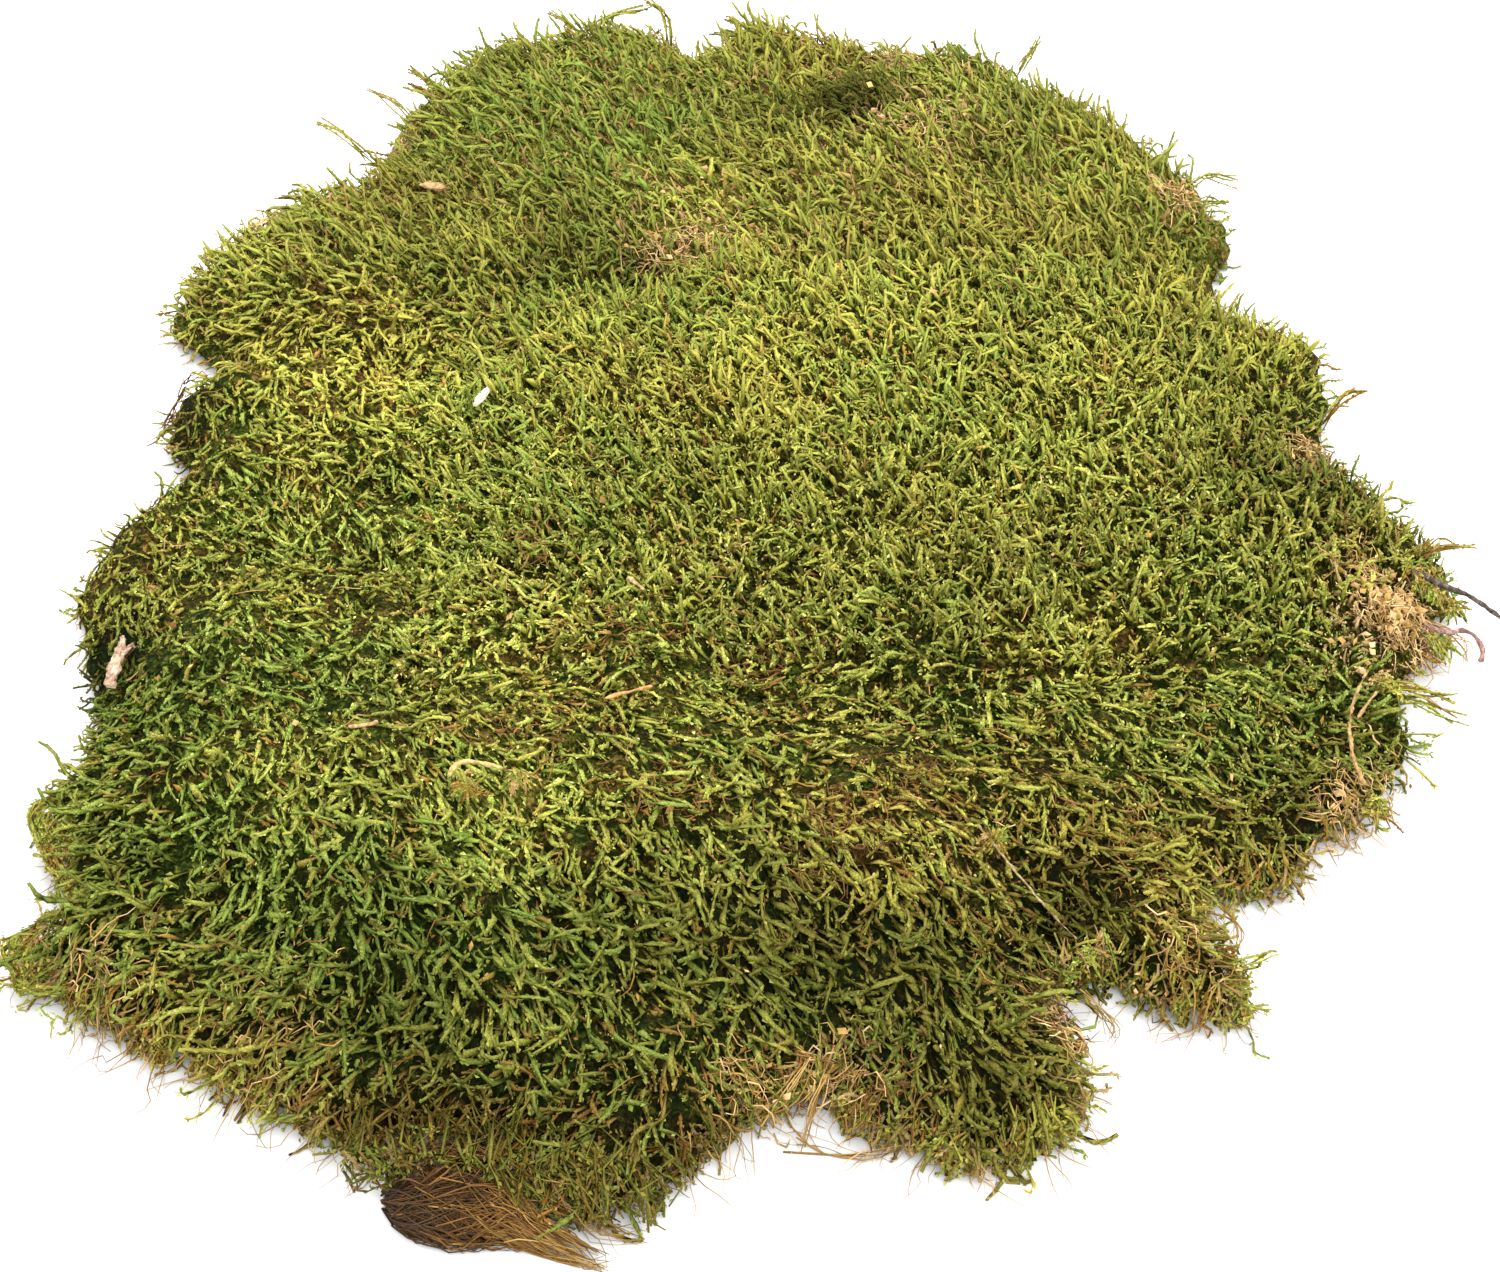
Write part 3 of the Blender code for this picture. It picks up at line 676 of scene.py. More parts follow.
# ---- scattering over a surface -----------------------------------------------------------
def scatter_tree():
    """Geometry Nodes: kinds of a collection set over a surface, leaning as its attributes say."""
    tree = bpy.data.node_groups.new("scatter on surface", "GeometryNodeTree")
    numbers = ("Spacing", "Density", "Upright", "Spread", "Least Lift", "Smallest", "Largest",
               "Dullest", "Brightest", "Drier")
    inputs = {"Surface": "Geometry", "Kinds": "Collection", "Finish": "Material", "Seed": "Int",
              **dict.fromkeys(numbers, "Float")}
    sockets = {name: tree.interface.new_socket(name, in_out="INPUT",
                                               socket_type="NodeSocket" + kind).identifier
               for name, kind in inputs.items()}
    tree.interface.new_socket("Result", in_out="OUTPUT", socket_type="NodeSocketGeometry")
    given = add_node(tree, "NodeGroupInput").outputs

    def stored(name, kind="FLOAT"):
        return add_node(tree, "GeometryNodeInputNamedAttribute", {"Name": name},
                        data_type=kind).outputs["Attribute"]

    def random_value(low, high, layer, kind="FLOAT"):
        """The node has a pair of inputs and an output for each kind, in this order."""
        place = ("FLOAT_VECTOR", "FLOAT", "INT").index(kind)
        return add_node(tree, "FunctionNodeRandomValue",
                        {2 * place: low, 2 * place + 1: high,
                         "Seed": maths(tree, "ADD", given["Seed"], layer)},
                        data_type=kind).outputs[place]

    def vector(operation, *values):
        return vector_maths(tree, operation, *values)

    spots = add_node(tree, "GeometryNodeDistributePointsOnFaces",
                     {"Mesh": given["Surface"], "Distance Min": given["Spacing"],
                      "Density Max": given["Density"], "Density Factor": stored("fill"),
                      "Seed": given["Seed"]}, distribute_method="POISSON").outputs
    facing = spots["Normal"]
    aside = random_value((-1, -1, -1), (1, 1, 1), 1, "FLOAT_VECTOR")
    aside = vector("SCALE", aside, maths(tree, "MULTIPLY", given["Spread"], stored("stray")))
    heading = vector("ADD", vector("SCALE", facing, given["Upright"]),
                     stored("lean", "FLOAT_VECTOR"))
    heading = vector("NORMALIZE", vector("ADD", heading, aside))
    # no shoot points back into the surface
    lift = maths(tree, "SUBTRACT", given["Least Lift"], vector("DOT_PRODUCT", heading, facing))
    lift = maths(tree, "MAXIMUM", lift, 0.0)
    heading = vector("ADD", heading, vector("SCALE", facing, lift))
    turned = add_node(tree, "FunctionNodeAlignRotationToVector", {"Vector": heading}, axis="Z")
    # each bends over towards the flow, more or less
    turned = add_node(tree, "FunctionNodeAlignRotationToVector",
                      {"Rotation": turned.outputs[0], "Vector": stored("flow", "FLOAT_VECTOR")},
                      axis="X", pivot_axis="Z")
    swing = maths(tree, "MULTIPLY", random_value(-math.pi, math.pi, 2), stored("stray"))
    spin = add_node(tree, "FunctionNodeAxisAngleToRotation", {"Axis": (0, 0, 1), "Angle": swing})
    turned = add_node(tree, "FunctionNodeRotateRotation",
                      {0: turned.outputs[0], 1: spin.outputs[0]}, rotation_space="LOCAL")
    # how dry: the place's share of dry shoots against a random number, with a soft limit
    over = maths(tree, "SUBTRACT", maths(tree, "ADD", stored("dry"), given["Drier"]),
                 random_value(0.0, 1.0, 6))
    dead = add_node(tree, "ShaderNodeMapRange", {"Value": over, "From Min": -0.12,
                                                 "From Max": 0.14}).outputs["Result"]
    size = random_value(given["Smallest"], given["Largest"], 3)
    size = maths(tree, "MULTIPLY", size, stored("grow"))
    size = maths(tree, "MULTIPLY", size, maths(tree, "MULTIPLY_ADD", dead, -DRY_SHRINKAGE, 1.0))
    kinds = add_node(tree, "GeometryNodeCollectionInfo",
                     {"Collection": given["Kinds"], "Separate Children": True,
                      "Reset Children": True}).outputs["Instances"]
    # the second half of the kinds is for places with the attribute long
    half = len(SHOOT_FORMS)
    longer = maths(tree, "GREATER_THAN", stored("long"), random_value(0.0, 1.0, 8))
    pick = maths(tree, "MULTIPLY_ADD", longer, half, random_value(0, half - 1, 4, "INT"))
    placed = add_node(tree, "GeometryNodeInstanceOnPoints",
                      {"Points": spots["Points"], "Instance": kinds, "Pick Instance": True,
                       "Instance Index": pick, "Rotation": turned.outputs[0], "Scale": size})
    own = add_node(tree, "ShaderNodeCombineXYZ",
                   {"X": random_value(given["Dullest"], given["Brightest"], 5),
                    "Y": random_value(0.0, 1.0, 7), "Z": dead}).outputs["Vector"]
    marked = add_node(tree, "GeometryNodeStoreNamedAttribute",
                      {"Geometry": placed.outputs["Instances"], "Name": "own", "Value": own},
                      data_type="FLOAT_VECTOR", domain="INSTANCE")
    solid = add_node(tree, "GeometryNodeRealizeInstances",
                     {"Geometry": marked.outputs["Geometry"]})
    finished = add_node(tree, "GeometryNodeSetMaterial",
                        {"Geometry": solid.outputs["Geometry"], "Material": given["Finish"]})
    add_node(tree, "NodeGroupOutput", {0: finished.outputs["Geometry"]})
    return tree, sockets


def scattered(name, surface, tree, sockets, values):
    """Run the scatter over a surface mesh and keep the result as a plain mesh."""
    source = link_object(name + " source", surface)
    scatter = source.modifiers.new("scatter", "NODES")
    scatter.node_group = tree
    for key, value in values.items():
        scatter[sockets[key]] = value
    return plain_result(source, name)


# ---- the mat -----------------------------------------------------------------------------
def sunken_mat(drop=0.0, wall_rise=0.0, far_rise=0.0):
    """The mat's solid drawn in by the height of the shoots, with its underside just raised."""
    bm = merged_copy("moss_mat")
    places = {}
    for v in bm.verts:
        front = float(blend_step(*FRONT_BAND, v.co.y / MM))
        far = float(blend_step(*FAR_BAND, v.co.y / MM))
        steep = float(blend_step(0.8, 0.3, v.normal.z))
        depth = CORE_DEPTH + drop + steep * (FRONT_DEPTH * front - wall_rise * (0.4 + 0.6 * front))
        depth -= RIM_RISE * steep * (1 - front) + far_rise * far
        places[v] = v.co - v.normal * depth * MM
    for v, place in places.items():
        grounded = v.co.z < ON_GROUND * MM
        v.co = place
        v.co.z = CORE_LIFT * MM if grounded else max(place.z, (CORE_LIFT + LEAST_CORE) * MM)
    bm.normal_update()
    return bm


def mat_core(felt):
    """The felt under the shoots, lumpy on top and nearly flat below."""
    core = mesh_of("mat_core", sunken_mat(FELT_DROP, FELT_WALL_RISE, FELT_FAR_RISE))
    core = subdivided("mat_core", core, 1)
    spots, facing = points_of(core), normals_of(core)
    under = blend_step(0.0, -0.6, facing[:, 2])
    lumps = FELT_LUMPS * (noise_at(spots, 6.0, 4.0) + 0.6 * noise_at(spots, 3.0, 8.0))
    lumps *= 1 - 0.8 * under
    # painted light and shade on the felt, lighter towards the far side where it lightens the shade in
    # the gaps between the shoots, and none of it low on the underside
    glow = light_and_shade_at(spots) + 0.8 * blend_step(*FAR_BAND, spots[:, 1])
    set_attribute(core, "under", under)
    set_attribute(core, "tone", tone_at(spots))
    set_attribute(core, "glow", glow * blend_step(1.0, 4.0, spots[:, 2]))
    move_points(core, spots + facing * lumps[:, None])
    core.shade_smooth()
    return painted("mat_core", core, felt)


def tone_at(spots):
    """How yellow the moss is at each place."""
    tone = BASE_TONE + patches_at(spots, TONE_PATCHES) + 0.35 * noise_at(spots, 24.0, 50.0)
    tone += 0.22 * noise_at(spots, 8.0, 60.0)
    return np.clip(tone, 0, 1)


def light_and_shade_at(spots):
    """How much lighter or darker the moss is painted at each place: partly its own patches, partly
    painted light and shade.
    """
    y = spots[:, 1]
    glow = patches_at(spots, LIGHT_AND_SHADE_PATCHES) + 0.20 * noise_at(spots, 18.0, 150.0)
    glow += 0.12 * noise_at(spots, 7.0, 170.0)
    # painted shade on the front slope, which faces away from the key light; darker over the far side,
    # and a little lighter again at its far edge
    glow += 0.27 * blend_step(-110, -50, y) - 0.26 * blend_step(0, 80, y)
    return glow + 0.10 * blend_step(110, 150, y) + BASE_LIGHT_AND_SHADE


UPPER_LAYER = {"Spacing": 1.6 * MM, "Density": 2500000.0, "Upright": 0.25, "Spread": 1.0,
               "Least Lift": 0.1, "Smallest": 0.7, "Largest": 1.15, "Dullest": 0.0,
               "Brightest": 1.0, "Drier": 0.0}
# the lower layer's shoots are a little darker: painted shade under the upper layer
LOWER_LAYER = {"Spacing": 1.5 * MM, "Density": 2500000.0, "Upright": 0.35, "Spread": 0.9,
               "Least Lift": 0.2, "Smallest": 0.8, "Largest": 1.2, "Dullest": -0.15,
               "Brightest": 0.8, "Drier": 0.16}
FRONT_Y, FAR_Y, LEFT_X, RIGHT_X = -62, 62, -30, 42
FRONT_SPLIT_X, FAR_SPLIT_X = -40, -5
REGIONS = {                    # which part of the mat a shoot grows on, by x and y
    "far_left_shoots": lambda x, y: y > FAR_Y and x < FAR_SPLIT_X,
    "far_right_shoots": lambda x, y: y > FAR_Y and x >= FAR_SPLIT_X,
    "left_shoots": lambda x, y: FRONT_Y < y <= FAR_Y and x < LEFT_X,
    "right_shoots": lambda x, y: y <= FAR_Y and x >= RIGHT_X,
    "front_left_shoots": lambda x, y: y <= FRONT_Y and x < FRONT_SPLIT_X,
    "front_right_shoots": lambda x, y: y <= FRONT_Y and FRONT_SPLIT_X <= x < RIGHT_X,
    "middle_shoots": lambda x, y: FRONT_Y < y <= FAR_Y and LEFT_X <= x < RIGHT_X,
}


def growing_surfaces():
    """The sunken top and sides, cut into regions, with what the scatter reads on them."""
    bm = sunken_mat()
    under = [f for f in bm.faces if f.normal.z < DOWNWARD]
    bmesh.ops.delete(bm, geom=under, context="FACES")
    whole = mesh_of("growing surface", bm)
    surfaces = {}
    for name, belongs in REGIONS.items():
        bm = bmesh.new()
        bm.from_mesh(whole)
        outside = []
        for face in bm.faces:
            middle = face.calc_center_median() / MM
            if not belongs(middle.x, middle.y):
                outside.append(face)
        bmesh.ops.delete(bm, geom=outside, context="FACES")
        surfaces[name] = mesh_of(name + " ground", bm)
        describe_growth(surfaces[name])
    return surfaces


def wander(spots, length, layer):
    """Noise along X and Y, and none along Z."""
    return np.column_stack((noise_at(spots, length, layer), noise_at(spots, length, layer + 7),
                            np.zeros(len(spots))))


def describe_growth(ground):
    """Set what the scatter reads: where the shoots lean and bend, their size, sort and colour."""
    spots, facing = points_of(ground), normals_of(ground)
    x, y, z = spots.T
    place = (spots[:, :2] - MIDDLE) / REACH
    away = np.linalg.norm(place, axis=1)
    outward = np.zeros((len(spots), 3))
    outward[:, :2] = place / np.maximum(away, 1e-6)[:, None]
    wall = blend_step(0.75, 0.25, facing[:, 2])
    front = blend_step(*STEEP_BAND, y)
    far = blend_step(*FAR_BAND, y)
    rim = wall * (1 - front)
    margin = blend_step(11, 2, RIM.distance(spots))

    # the front and the left hang down to the right, the rest stands up to the left, and the
    # hem at the front left hangs out
    ragged = 12 * noise_at(spots, 9.0, 200.0)
    beside = blend_step(70, 20, y)
    parted = blend_step(-54, -64, x + ragged) * beside
    near = np.maximum(blend_step(-46, -62, y + ragged), parted) * (1 - wall)
    near *= 1 - 0.8 * margin * blend_step(40, 70, x)
    hem = np.clip(patches_at(spots, HEM_PATCHES), 0, 1)
    near *= 1 - hem
    rest = 1 - near - hem
    lean = outward * ((0.15 + 0.5 * away ** 2) * (1 - 0.7 * near))[:, None]
    lean += 0.65 * wander(spots, 13.0, 20.0)
    lean *= ((1 - 0.5 * far) * (1 - 0.6 * rim))[:, None]
    lean += np.column_stack((near, rest * (1 - wall), hem)) @ LEANS
    lean[:, 2] -= wall * (0.45 + 0.15 * front) * (1 - 0.7 * hem)
    flow = outward * ((0.2 + 0.4 * away) * (1 - 0.8 * far) * (1 - rim) * (1 - 0.7 * near))[:, None]
    flow += np.column_stack((near, rest, hem)) @ FLOWS + 0.6 * wander(spots, 16.0, 120.0)
    flow[:, 1] -= 0.45 * rest * far
    flow[:, 2] -= 0.6 * wall * (1 - 0.7 * hem) + 0.1
    set_attribute(ground, "lean", lean, "FLOAT_VECTOR")
    set_attribute(ground, "flow", flow, "FLOAT_VECTOR")
    set_attribute(ground, "stray", 0.68 - 0.22 * near - 0.23 * far)

    # long shoots grow at the front, at the left and at the back, and are fewer
    long = blend_step(-30, -85, y) * (1 - 0.5 * blend_step(5, 45, x))
    long = np.maximum(long, 0.9 * blend_step(-45, -80, x) * beside) + 0.65 * far
    long = np.minimum(long, 1)
    set_attribute(ground, "long", 0.12 + 0.85 * long)
    set_attribute(ground, "fill", 1 - 0.25 * long)
    shorter = 0.26 * margin * (1 - front * blend_step(60, 30, x))
    set_attribute(ground, "grow", 0.86 + 0.16 * front + 0.08 * far - shorter)

    dry = 0.03 + patches_at(spots, DRY_PATCHES) + 0.16 * wall + 0.07 * far
    dry += 0.45 * np.maximum(noise_at(spots, 11.0, 80.0) - 0.1, 0) * (1 - 0.7 * front)
    dry += 0.65 * blend_step(13.0, 4.0, z) * front * blend_step(10, -40, x)
    pale = 0.1 + 0.35 * far + patches_at(spots, PALE_PATCHES)
    set_attribute(ground, "dry", np.clip(dry, 0, 0.95))
    set_attribute(ground, "pale", np.clip(pale, 0, 1))
    set_attribute(ground, "tone", tone_at(spots))
    set_attribute(ground, "glow", light_and_shade_at(spots))
    set_attribute(ground, "even", 0.15 + 0.68 * blend_step(-30, 60, y) + 0.28 * front)


def keep_off_floor(mesh):
    """Shoots that would reach under the ground lie flat on it instead."""
    spots = points_of(mesh)
    deep = spots[:, 2] < FLOOR_GAP
    spots[deep, 2] = FLOOR_GAP + (FLOOR_GAP - spots[deep, 2]) * PRESSED_FLAT
    move_points(mesh, spots)


def moss_shoots(finish):
    """An upper and a lower layer of shoots on each region."""
    tree, sockets = scatter_tree()
    layers = ((UPPER_SEED, {**UPPER_LAYER, "Kinds": leafy_kinds(), "Finish": finish}),
              (LOWER_SEED, {**LOWER_LAYER, "Kinds": lower_kinds(), "Finish": finish}))
    pieces = []
    for number, (name, ground) in enumerate(growing_surfaces().items()):
        grown = [scattered(name, ground.copy(), tree, sockets, {**values, "Seed": seed + number})
                 for seed, values in layers]
        mesh = joined(name, grown)
        keep_off_floor(mesh)
        pieces.append(painted(name, mesh, finish))
    for _, values in layers:
        remove_kinds(values["Kinds"])
    return pieces


# ---- strands and fibres ------------------------------------------------------------------
RIM_MARGIN = 3.0               # loose bits on the mat keep this far from its rim
# dead fibres gathered on and at the edge of the mat: x, y, reach, number and hue
FIBRE_TUFTS = [(102, -37, 6.0, 190, 0.92), (97, -28, 5.0, 50, 0.80), (108, -40, 4.5, 40, 0.90),
               (88, -77, 5.5, 110, 0.85), (95, -70, 4.5, 30, 0.80), (96, 5, 6.0, 60, 0.85),
               (41, -119, 4.5, 70, 0.85), (40, -113, 4.5, 80, 0.30), (60, -111, 5.0, 40, 0.55),
               (58, -105, 4.0, 20, 0.80), (5, -128, 6.0, 80, 0.85), (14, -132, 4.5, 60, 0.45),
               (-6, -130, 5.0, 50, 0.70), (-22, 61, 5.0, 50, 0.85), (-13, 67, 6.0, 70, 0.90),
               (29, 97, 10.0, 70, 0.90), (27, 128, 7.0, 50, 0.85), (46, 138, 6.0, 50, 0.85),
               (80, 80, 5.0, 60, 0.90), (-111, 19, 6.0, 40, 0.35), (-100, 68, 5.0, 30, 0.90),
               (-77, 103, 5.0, 40, 0.85), (-29, 147, 5.0, 20, 0.70), (-26, -49, 9.0, 70, 0.42),
               (-40, -29, 6.0, 40, 0.48), (18, -83, 9.0, 80, 0.38), (7, -95, 9.0, 80, 0.38),
               (-39, -73, 6.0, 50, 0.42), (-2, -51, 8.0, 50, 0.40), (-17, -85, 8.0, 60, 0.42),
               (52, -90, 10.0, 60, 0.45), (-98, -112, 8.0, 70, 0.78), (-72, -124, 10.0, 90, 0.72)]
# strands across the notches in the front and the right edge
NET_STRANDS = [[(2, -124, 8), (5, -125, 7.5), (9, -126, 8)],
               [(6, -126, 8), (4.5, -130, 6), (3, -132, 3), (2, -134, 1)],
               [(1, -133, 1), (6, -135, 1), (11, -136, 1), (17, -135, 1.5)],
               [(9, -127, 8), (9.5, -130, 5), (9, -133, 1.5)],
               [(14, -129, 7), (16, -132, 4), (17, -134, 2)],
               [(-4, -131, 4), (0, -129, 6), (3, -125, 8)],
               [(43, -112, 7), (46, -113.5, 5), (48, -116, 3.5), (47, -118.5, 3)],
               [(107, -37, 7), (111, -38, 7.5), (113, -41, 7), (112, -44, 6)],
               [(66, -98, 9), (67, -102, 8), (66, -106, 7)]]
NET_BUNDLE = 6                 # each of them is this many fibres
STRAND_POINTS = 4
STRAND_HEIGHT = 0.3            # fibres keep at least this far over the ground
EDGE_HEIGHT = 3.0              # a fibre that starts beside the mat droops from here


class Strands:
    """Thin three-sided strands that make one mesh, each with its own shade and hue."""
    def __init__(self):
        self.points, self.faces, self.ups, self.owns = [], [], [], []
        self.number = 0

    def add(self, line, width, shade, hue):
        _, side, across = frames_along(line)
        share = np.linspace(0, 1, len(line))
        thick = width / 2 * (1 - 0.6 * share ** 2)
        self.faces += tube_faces(len(self.points), len(line))
        self.points += [line[k] + thick[k] * spoke(2 * math.pi * corner / 3, side[k], across[k])
                        for k in range(len(line)) for corner in range(3)]
        self.ups += list(np.repeat(share, 3))
        self.owns += [(shade, hue, 1)] * (3 * len(line))
        self.number += 1

    def mesh(self, name):
        mesh = mesh_from(name, np.array(self.points) * MM, self.faces)
        set_attribute(mesh, "along", self.ups)
        set_attribute(mesh, "own", self.owns, "FLOAT_VECTOR")
        mesh.shade_smooth()
        return mesh


def loosened(points, amount, count, random):
    """A curve through the points, each of them moved a little and kept over the ground."""
    moved = np.array(points) + random.normal(0, amount, (len(points), 3))
    moved[:, 2] = np.maximum(moved[:, 2], STRAND_HEIGHT)
    return curve_through(moved, count)


def mat_height(x, y):
    """Height of the mat's top in millimetres, or None beside it."""
    hit = MAT_SURFACE.ray_cast(Vector((x * MM, y * MM, 0.1)), Vector((0, 0, -1)))
    return hit[0].z / MM if hit[0] else None


def draped(x, y, turn, length, bend, sink):
    """A bent line that lies over the mat and droops past its edge."""
    line = []
    height = EDGE_HEIGHT
    step = length / (STRAND_POINTS - 1)
    for k in range(STRAND_POINTS):
        top = mat_height(x, y)
        if top is None:
            height -= 0.7 * step
        else:
            height = top - sink + 0.5 * math.sin(3 * k + turn)
        line.append((x, y, max(height, STRAND_HEIGHT)))
        x += step * math.cos(turn)
        y += step * math.sin(turn)
        turn += bend / STRAND_POINTS
    return np.array(line)


def dry_fibres(finish):
    """Tan and brown fibres in tufts on the mat and at its edge."""
    random = np.random.default_rng(FIBRE_SEED)
    strands = Strands()
    for x, y, reach, number, hue in FIBRE_TUFTS:
        for _ in range(number):
            middle = random.normal(0, 0.55 * reach, 2) + (x, y)
            if mat_height(*middle) is None and RIM.distance([middle])[0] > RIM_MARGIN:
                continue
            strands.add(draped(*middle, random.uniform(0, 2 * math.pi), random.uniform(2.0, 5.0),
                               random.uniform(-5, 5), random.uniform(-0.5, 1.8)),
                        random.uniform(0.14, 0.38), random.uniform(0, 1),
                        np.clip(random.normal(hue, 0.12), 0, 1))
    for points in NET_STRANDS:
        for _ in range(NET_BUNDLE):
            strands.add(loosened(points, 0.7, 9, random), random.uniform(0.16, 0.4),
                        random.uniform(0.2, 0.8), random.uniform(0.5, 0.95))
    return painted("dry_fibres", strands.mesh("dry_fibres"), finish)


CHIP_NUMBER = 900
CHIP_SINK = 1.2                # chips at the rim lie this much deeper
CHIP_CORNERS = (0.2, 1.7, 3.3, 4.9)
CHIP_HUES = (0.35, 0.45, 0.55, 0.65, 0.85)
# heaps of larger flakes: x, y, reach and number
FLAKE_HEAPS = [(102, -37, 5.5, 130), (95, -47, 5.0, 30), (88, -78, 4.0, 24), (96, 4, 4.5, 20),
               (-14, 68, 5.0, 26), (-23, 61, 4.0, 14), (29, 98, 10.0, 30), (27, 128, 7.0, 18),
               (80, 80, 4.0, 16), (3, -130, 6.0, 24), (57, -110, 6.0, 12), (-77, 102, 4.0, 14),
               (-22, 76, 2.5, 8), (-15, 82, 3.0, 10), (-10, 78, 2.5, 10), (-4, 71, 3.0, 10)]
STEMLET_NUMBER = 430


def chips_mesh(low, high, random):
    """Crumbs of bark and leaf all over the mat, and larger flakes in heaps."""
    spots = [(*random.uniform(low, high), 0.0) for _ in range(CHIP_NUMBER)]
    for x, y, reach, number in FLAKE_HEAPS:
        spots += [(*(random.normal(0, 0.6 * reach, 2) + (x, y)), 1.0) for _ in range(number)]
    points, faces, owns = [], [], []
    for x, y, heaped in spots:
        top = mat_height(x, y)
        inside = RIM.distance([(x, y)])[0]
        if top is None or inside < (0.5 if heaped else RIM_MARGIN):
            continue
        top -= CHIP_SINK * float(blend_step(5, 1, inside))
        axis, across, up = np.linalg.qr(random.normal(0, 1, (3, 3)))[0]
        size = 0.2 + 0.4 * random.random() ** 2 + heaped * random.uniform(0.05, 0.35)
        middle = np.array((x, y, top + random.uniform(-0.9, 0.2) + 0.4 * heaped))
        start = len(points)
        points += [middle + size * random.uniform(0.6, 1.2) * spoke(turn, 1.6 * axis, across)
                   for turn in CHIP_CORNERS]
        points.append(middle + 0.3 * size * up)
        faces += [(start + k, start + (k + 1) % 4, start + 4) for k in range(4)]
        faces.append((start + 3, start + 2, start + 1, start))
        hue = random.choice(CHIP_HUES)
        hue += heaped * (random.uniform(0.65, 1.0) - hue)
        owns += [(random.uniform(0.2, 1), hue, 1)] * 5
    chips = mesh_from("chips", np.array(points) * MM, faces)
    set_attribute(chips, "own", owns, "FLOAT_VECTOR")
    return chips


def fine_litter(finish):
    """Crumbs of bark and leaf and short dead stems, all over the mat."""
    random = np.random.default_rng(LITTER_SEED)
    low, high = (np.array(corner)[:2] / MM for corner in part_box("moss_mat"))
    chips = chips_mesh(low, high, random)
    stemlets = Strands()
    while stemlets.number < STEMLET_NUMBER:
        x, y = random.uniform(low, high)
        if mat_height(x, y) is None or RIM.distance([(x, y)])[0] < 2 * RIM_MARGIN:
            continue
        stemlets.add(draped(x, y, random.uniform(0, 2 * math.pi), random.uniform(2, 6),
                            random.uniform(-2, 2), random.uniform(-0.6, 0.8)),
                     random.uniform(0.14, 0.32), random.uniform(0.2, 0.9),
                     np.clip(random.normal(0.50, 0.2), 0.25, 1))
    return painted("fine_litter", joined("fine_litter", [stemlets.mesh("stemlets"), chips]), finish)


# ---- the root wad ------------------------------------------------------------------------
WAD_FIBRES = 760
WAD_FULLNESS = 0.75            # 1 makes its sections half ellipses, less makes them fuller
WAD_HEIGHT = 0.25              # the wad and its fibres keep this far over the ground
TRAIL_BUNDLE = 14              # each of the trails is this many fibres
# strands that trail from its thin end, out to the right
TRAILS = [[(-38, -148, 4), (-32, -150, 3), (-28, -152.5, 1), (-25, -153.5, 0.5)],
          [(-37, -144, 6), (-31, -146, 4), (-26, -148.5, 1.5), (-20, -149, 0.6)],
          [(-36, -142, 7), (-30, -144, 6), (-25, -144, 4), (-19, -146, 2)]]


def wad_sections():
    """x, middle y, half width and height of the wad's solid, in millimetres."""
    bm = merged_copy("root_wad")
    rings = {}
    for v in bm.verts:
        rings.setdefault(round(v.co.x / MM, 1), []).append(v.co / MM)
    bm.free()
    rows = []
    for x, ring in sorted(rings.items()):
        ys = [p.y for p in ring]
        rows.append((x, (max(ys) + min(ys)) / 2, (max(ys) - min(ys)) / 2, max(p.z for p in ring)))
    return np.array(rows)


def wad_point(sections, x, turn, swell):
    """A point on the wad: at x, round its section by a turn, and swollen out of it."""
    middle, half, height = (np.interp(x, sections[:, 0], sections[:, k]) for k in (1, 2, 3))
    across = math.copysign(abs(math.cos(turn)) ** WAD_FULLNESS, math.cos(turn))
    up = abs(math.sin(turn)) ** WAD_FULLNESS
    return x, middle + across * half * swell, max(up * height * swell, WAD_HEIGHT)


def wad_core(sections, felt):
    """The dark lump of matted root under the fibres."""
    xs = np.linspace(sections[0, 0] + 0.8, sections[-1, 0] - 11, 22)
    turns = np.linspace(0, math.pi, 16)
    points = [wad_point(sections, x, turn, 0.86 + 0.10 * noise.noise(Vector((x * 0.5, turn * 3, 1))))
              for x in xs for turn in turns]
    across = len(turns)
    faces = [(row + k, row + (k + 1) % across, row + across + (k + 1) % across, row + across + k)
             for row in range(0, (len(xs) - 1) * across, across) for k in range(across)]
    faces += [tuple(range(across - 1, -1, -1)), tuple(range(len(points) - across, len(points)))]
    lump = mesh_from("wad_core", np.array(points) * MM, faces)
    set_attribute(lump, "under", np.ones(len(points)))
    lump.shade_smooth()
    return painted("wad_core", lump, felt)


def root_fibres(sections, finish):
    """Fibres that sweep over the wad to the right, thin out and trail from its thin end."""
    random = np.random.default_rng(ROOT_SEED)
    left, span = sections[0, 0], sections[-1, 0] - sections[0, 0]
    strands = Strands()
    for _ in range(WAD_FIBRES):
        begin = left + span * 0.6 * random.random() ** 1.3
        end = begin + span * random.uniform(0.15, 0.45)
        turn = random.uniform(0.05, math.pi - 0.05)
        drift = random.uniform(-1.2, 1.0)
        swell = random.uniform(0.84, 1.04)
        wave = random.uniform(0, 6)
        line = [wad_point(sections, begin + (end - begin) * share, turn + drift * share,
                          swell + 0.04 * math.sin(5 * share + wave))
                for share in np.linspace(0, 1, 6)]
        width = random.uniform(0.14, 0.36)
        hue = np.clip(0.10 + 0.85 * (begin - left) / span + random.normal(0, 0.14), 0, 0.8)
        strands.add(np.array(line), width, random.uniform(0, 0.9), hue)
    for points in TRAILS:
        for _ in range(TRAIL_BUNDLE):
            strands.add(loosened(points, 0.9, 7, random), random.uniform(0.12, 0.3),
                        random.uniform(0.1, 0.8), random.uniform(0.4, 0.75))
    return painted("root_fibres", strands.mesh("root_fibres"), finish)


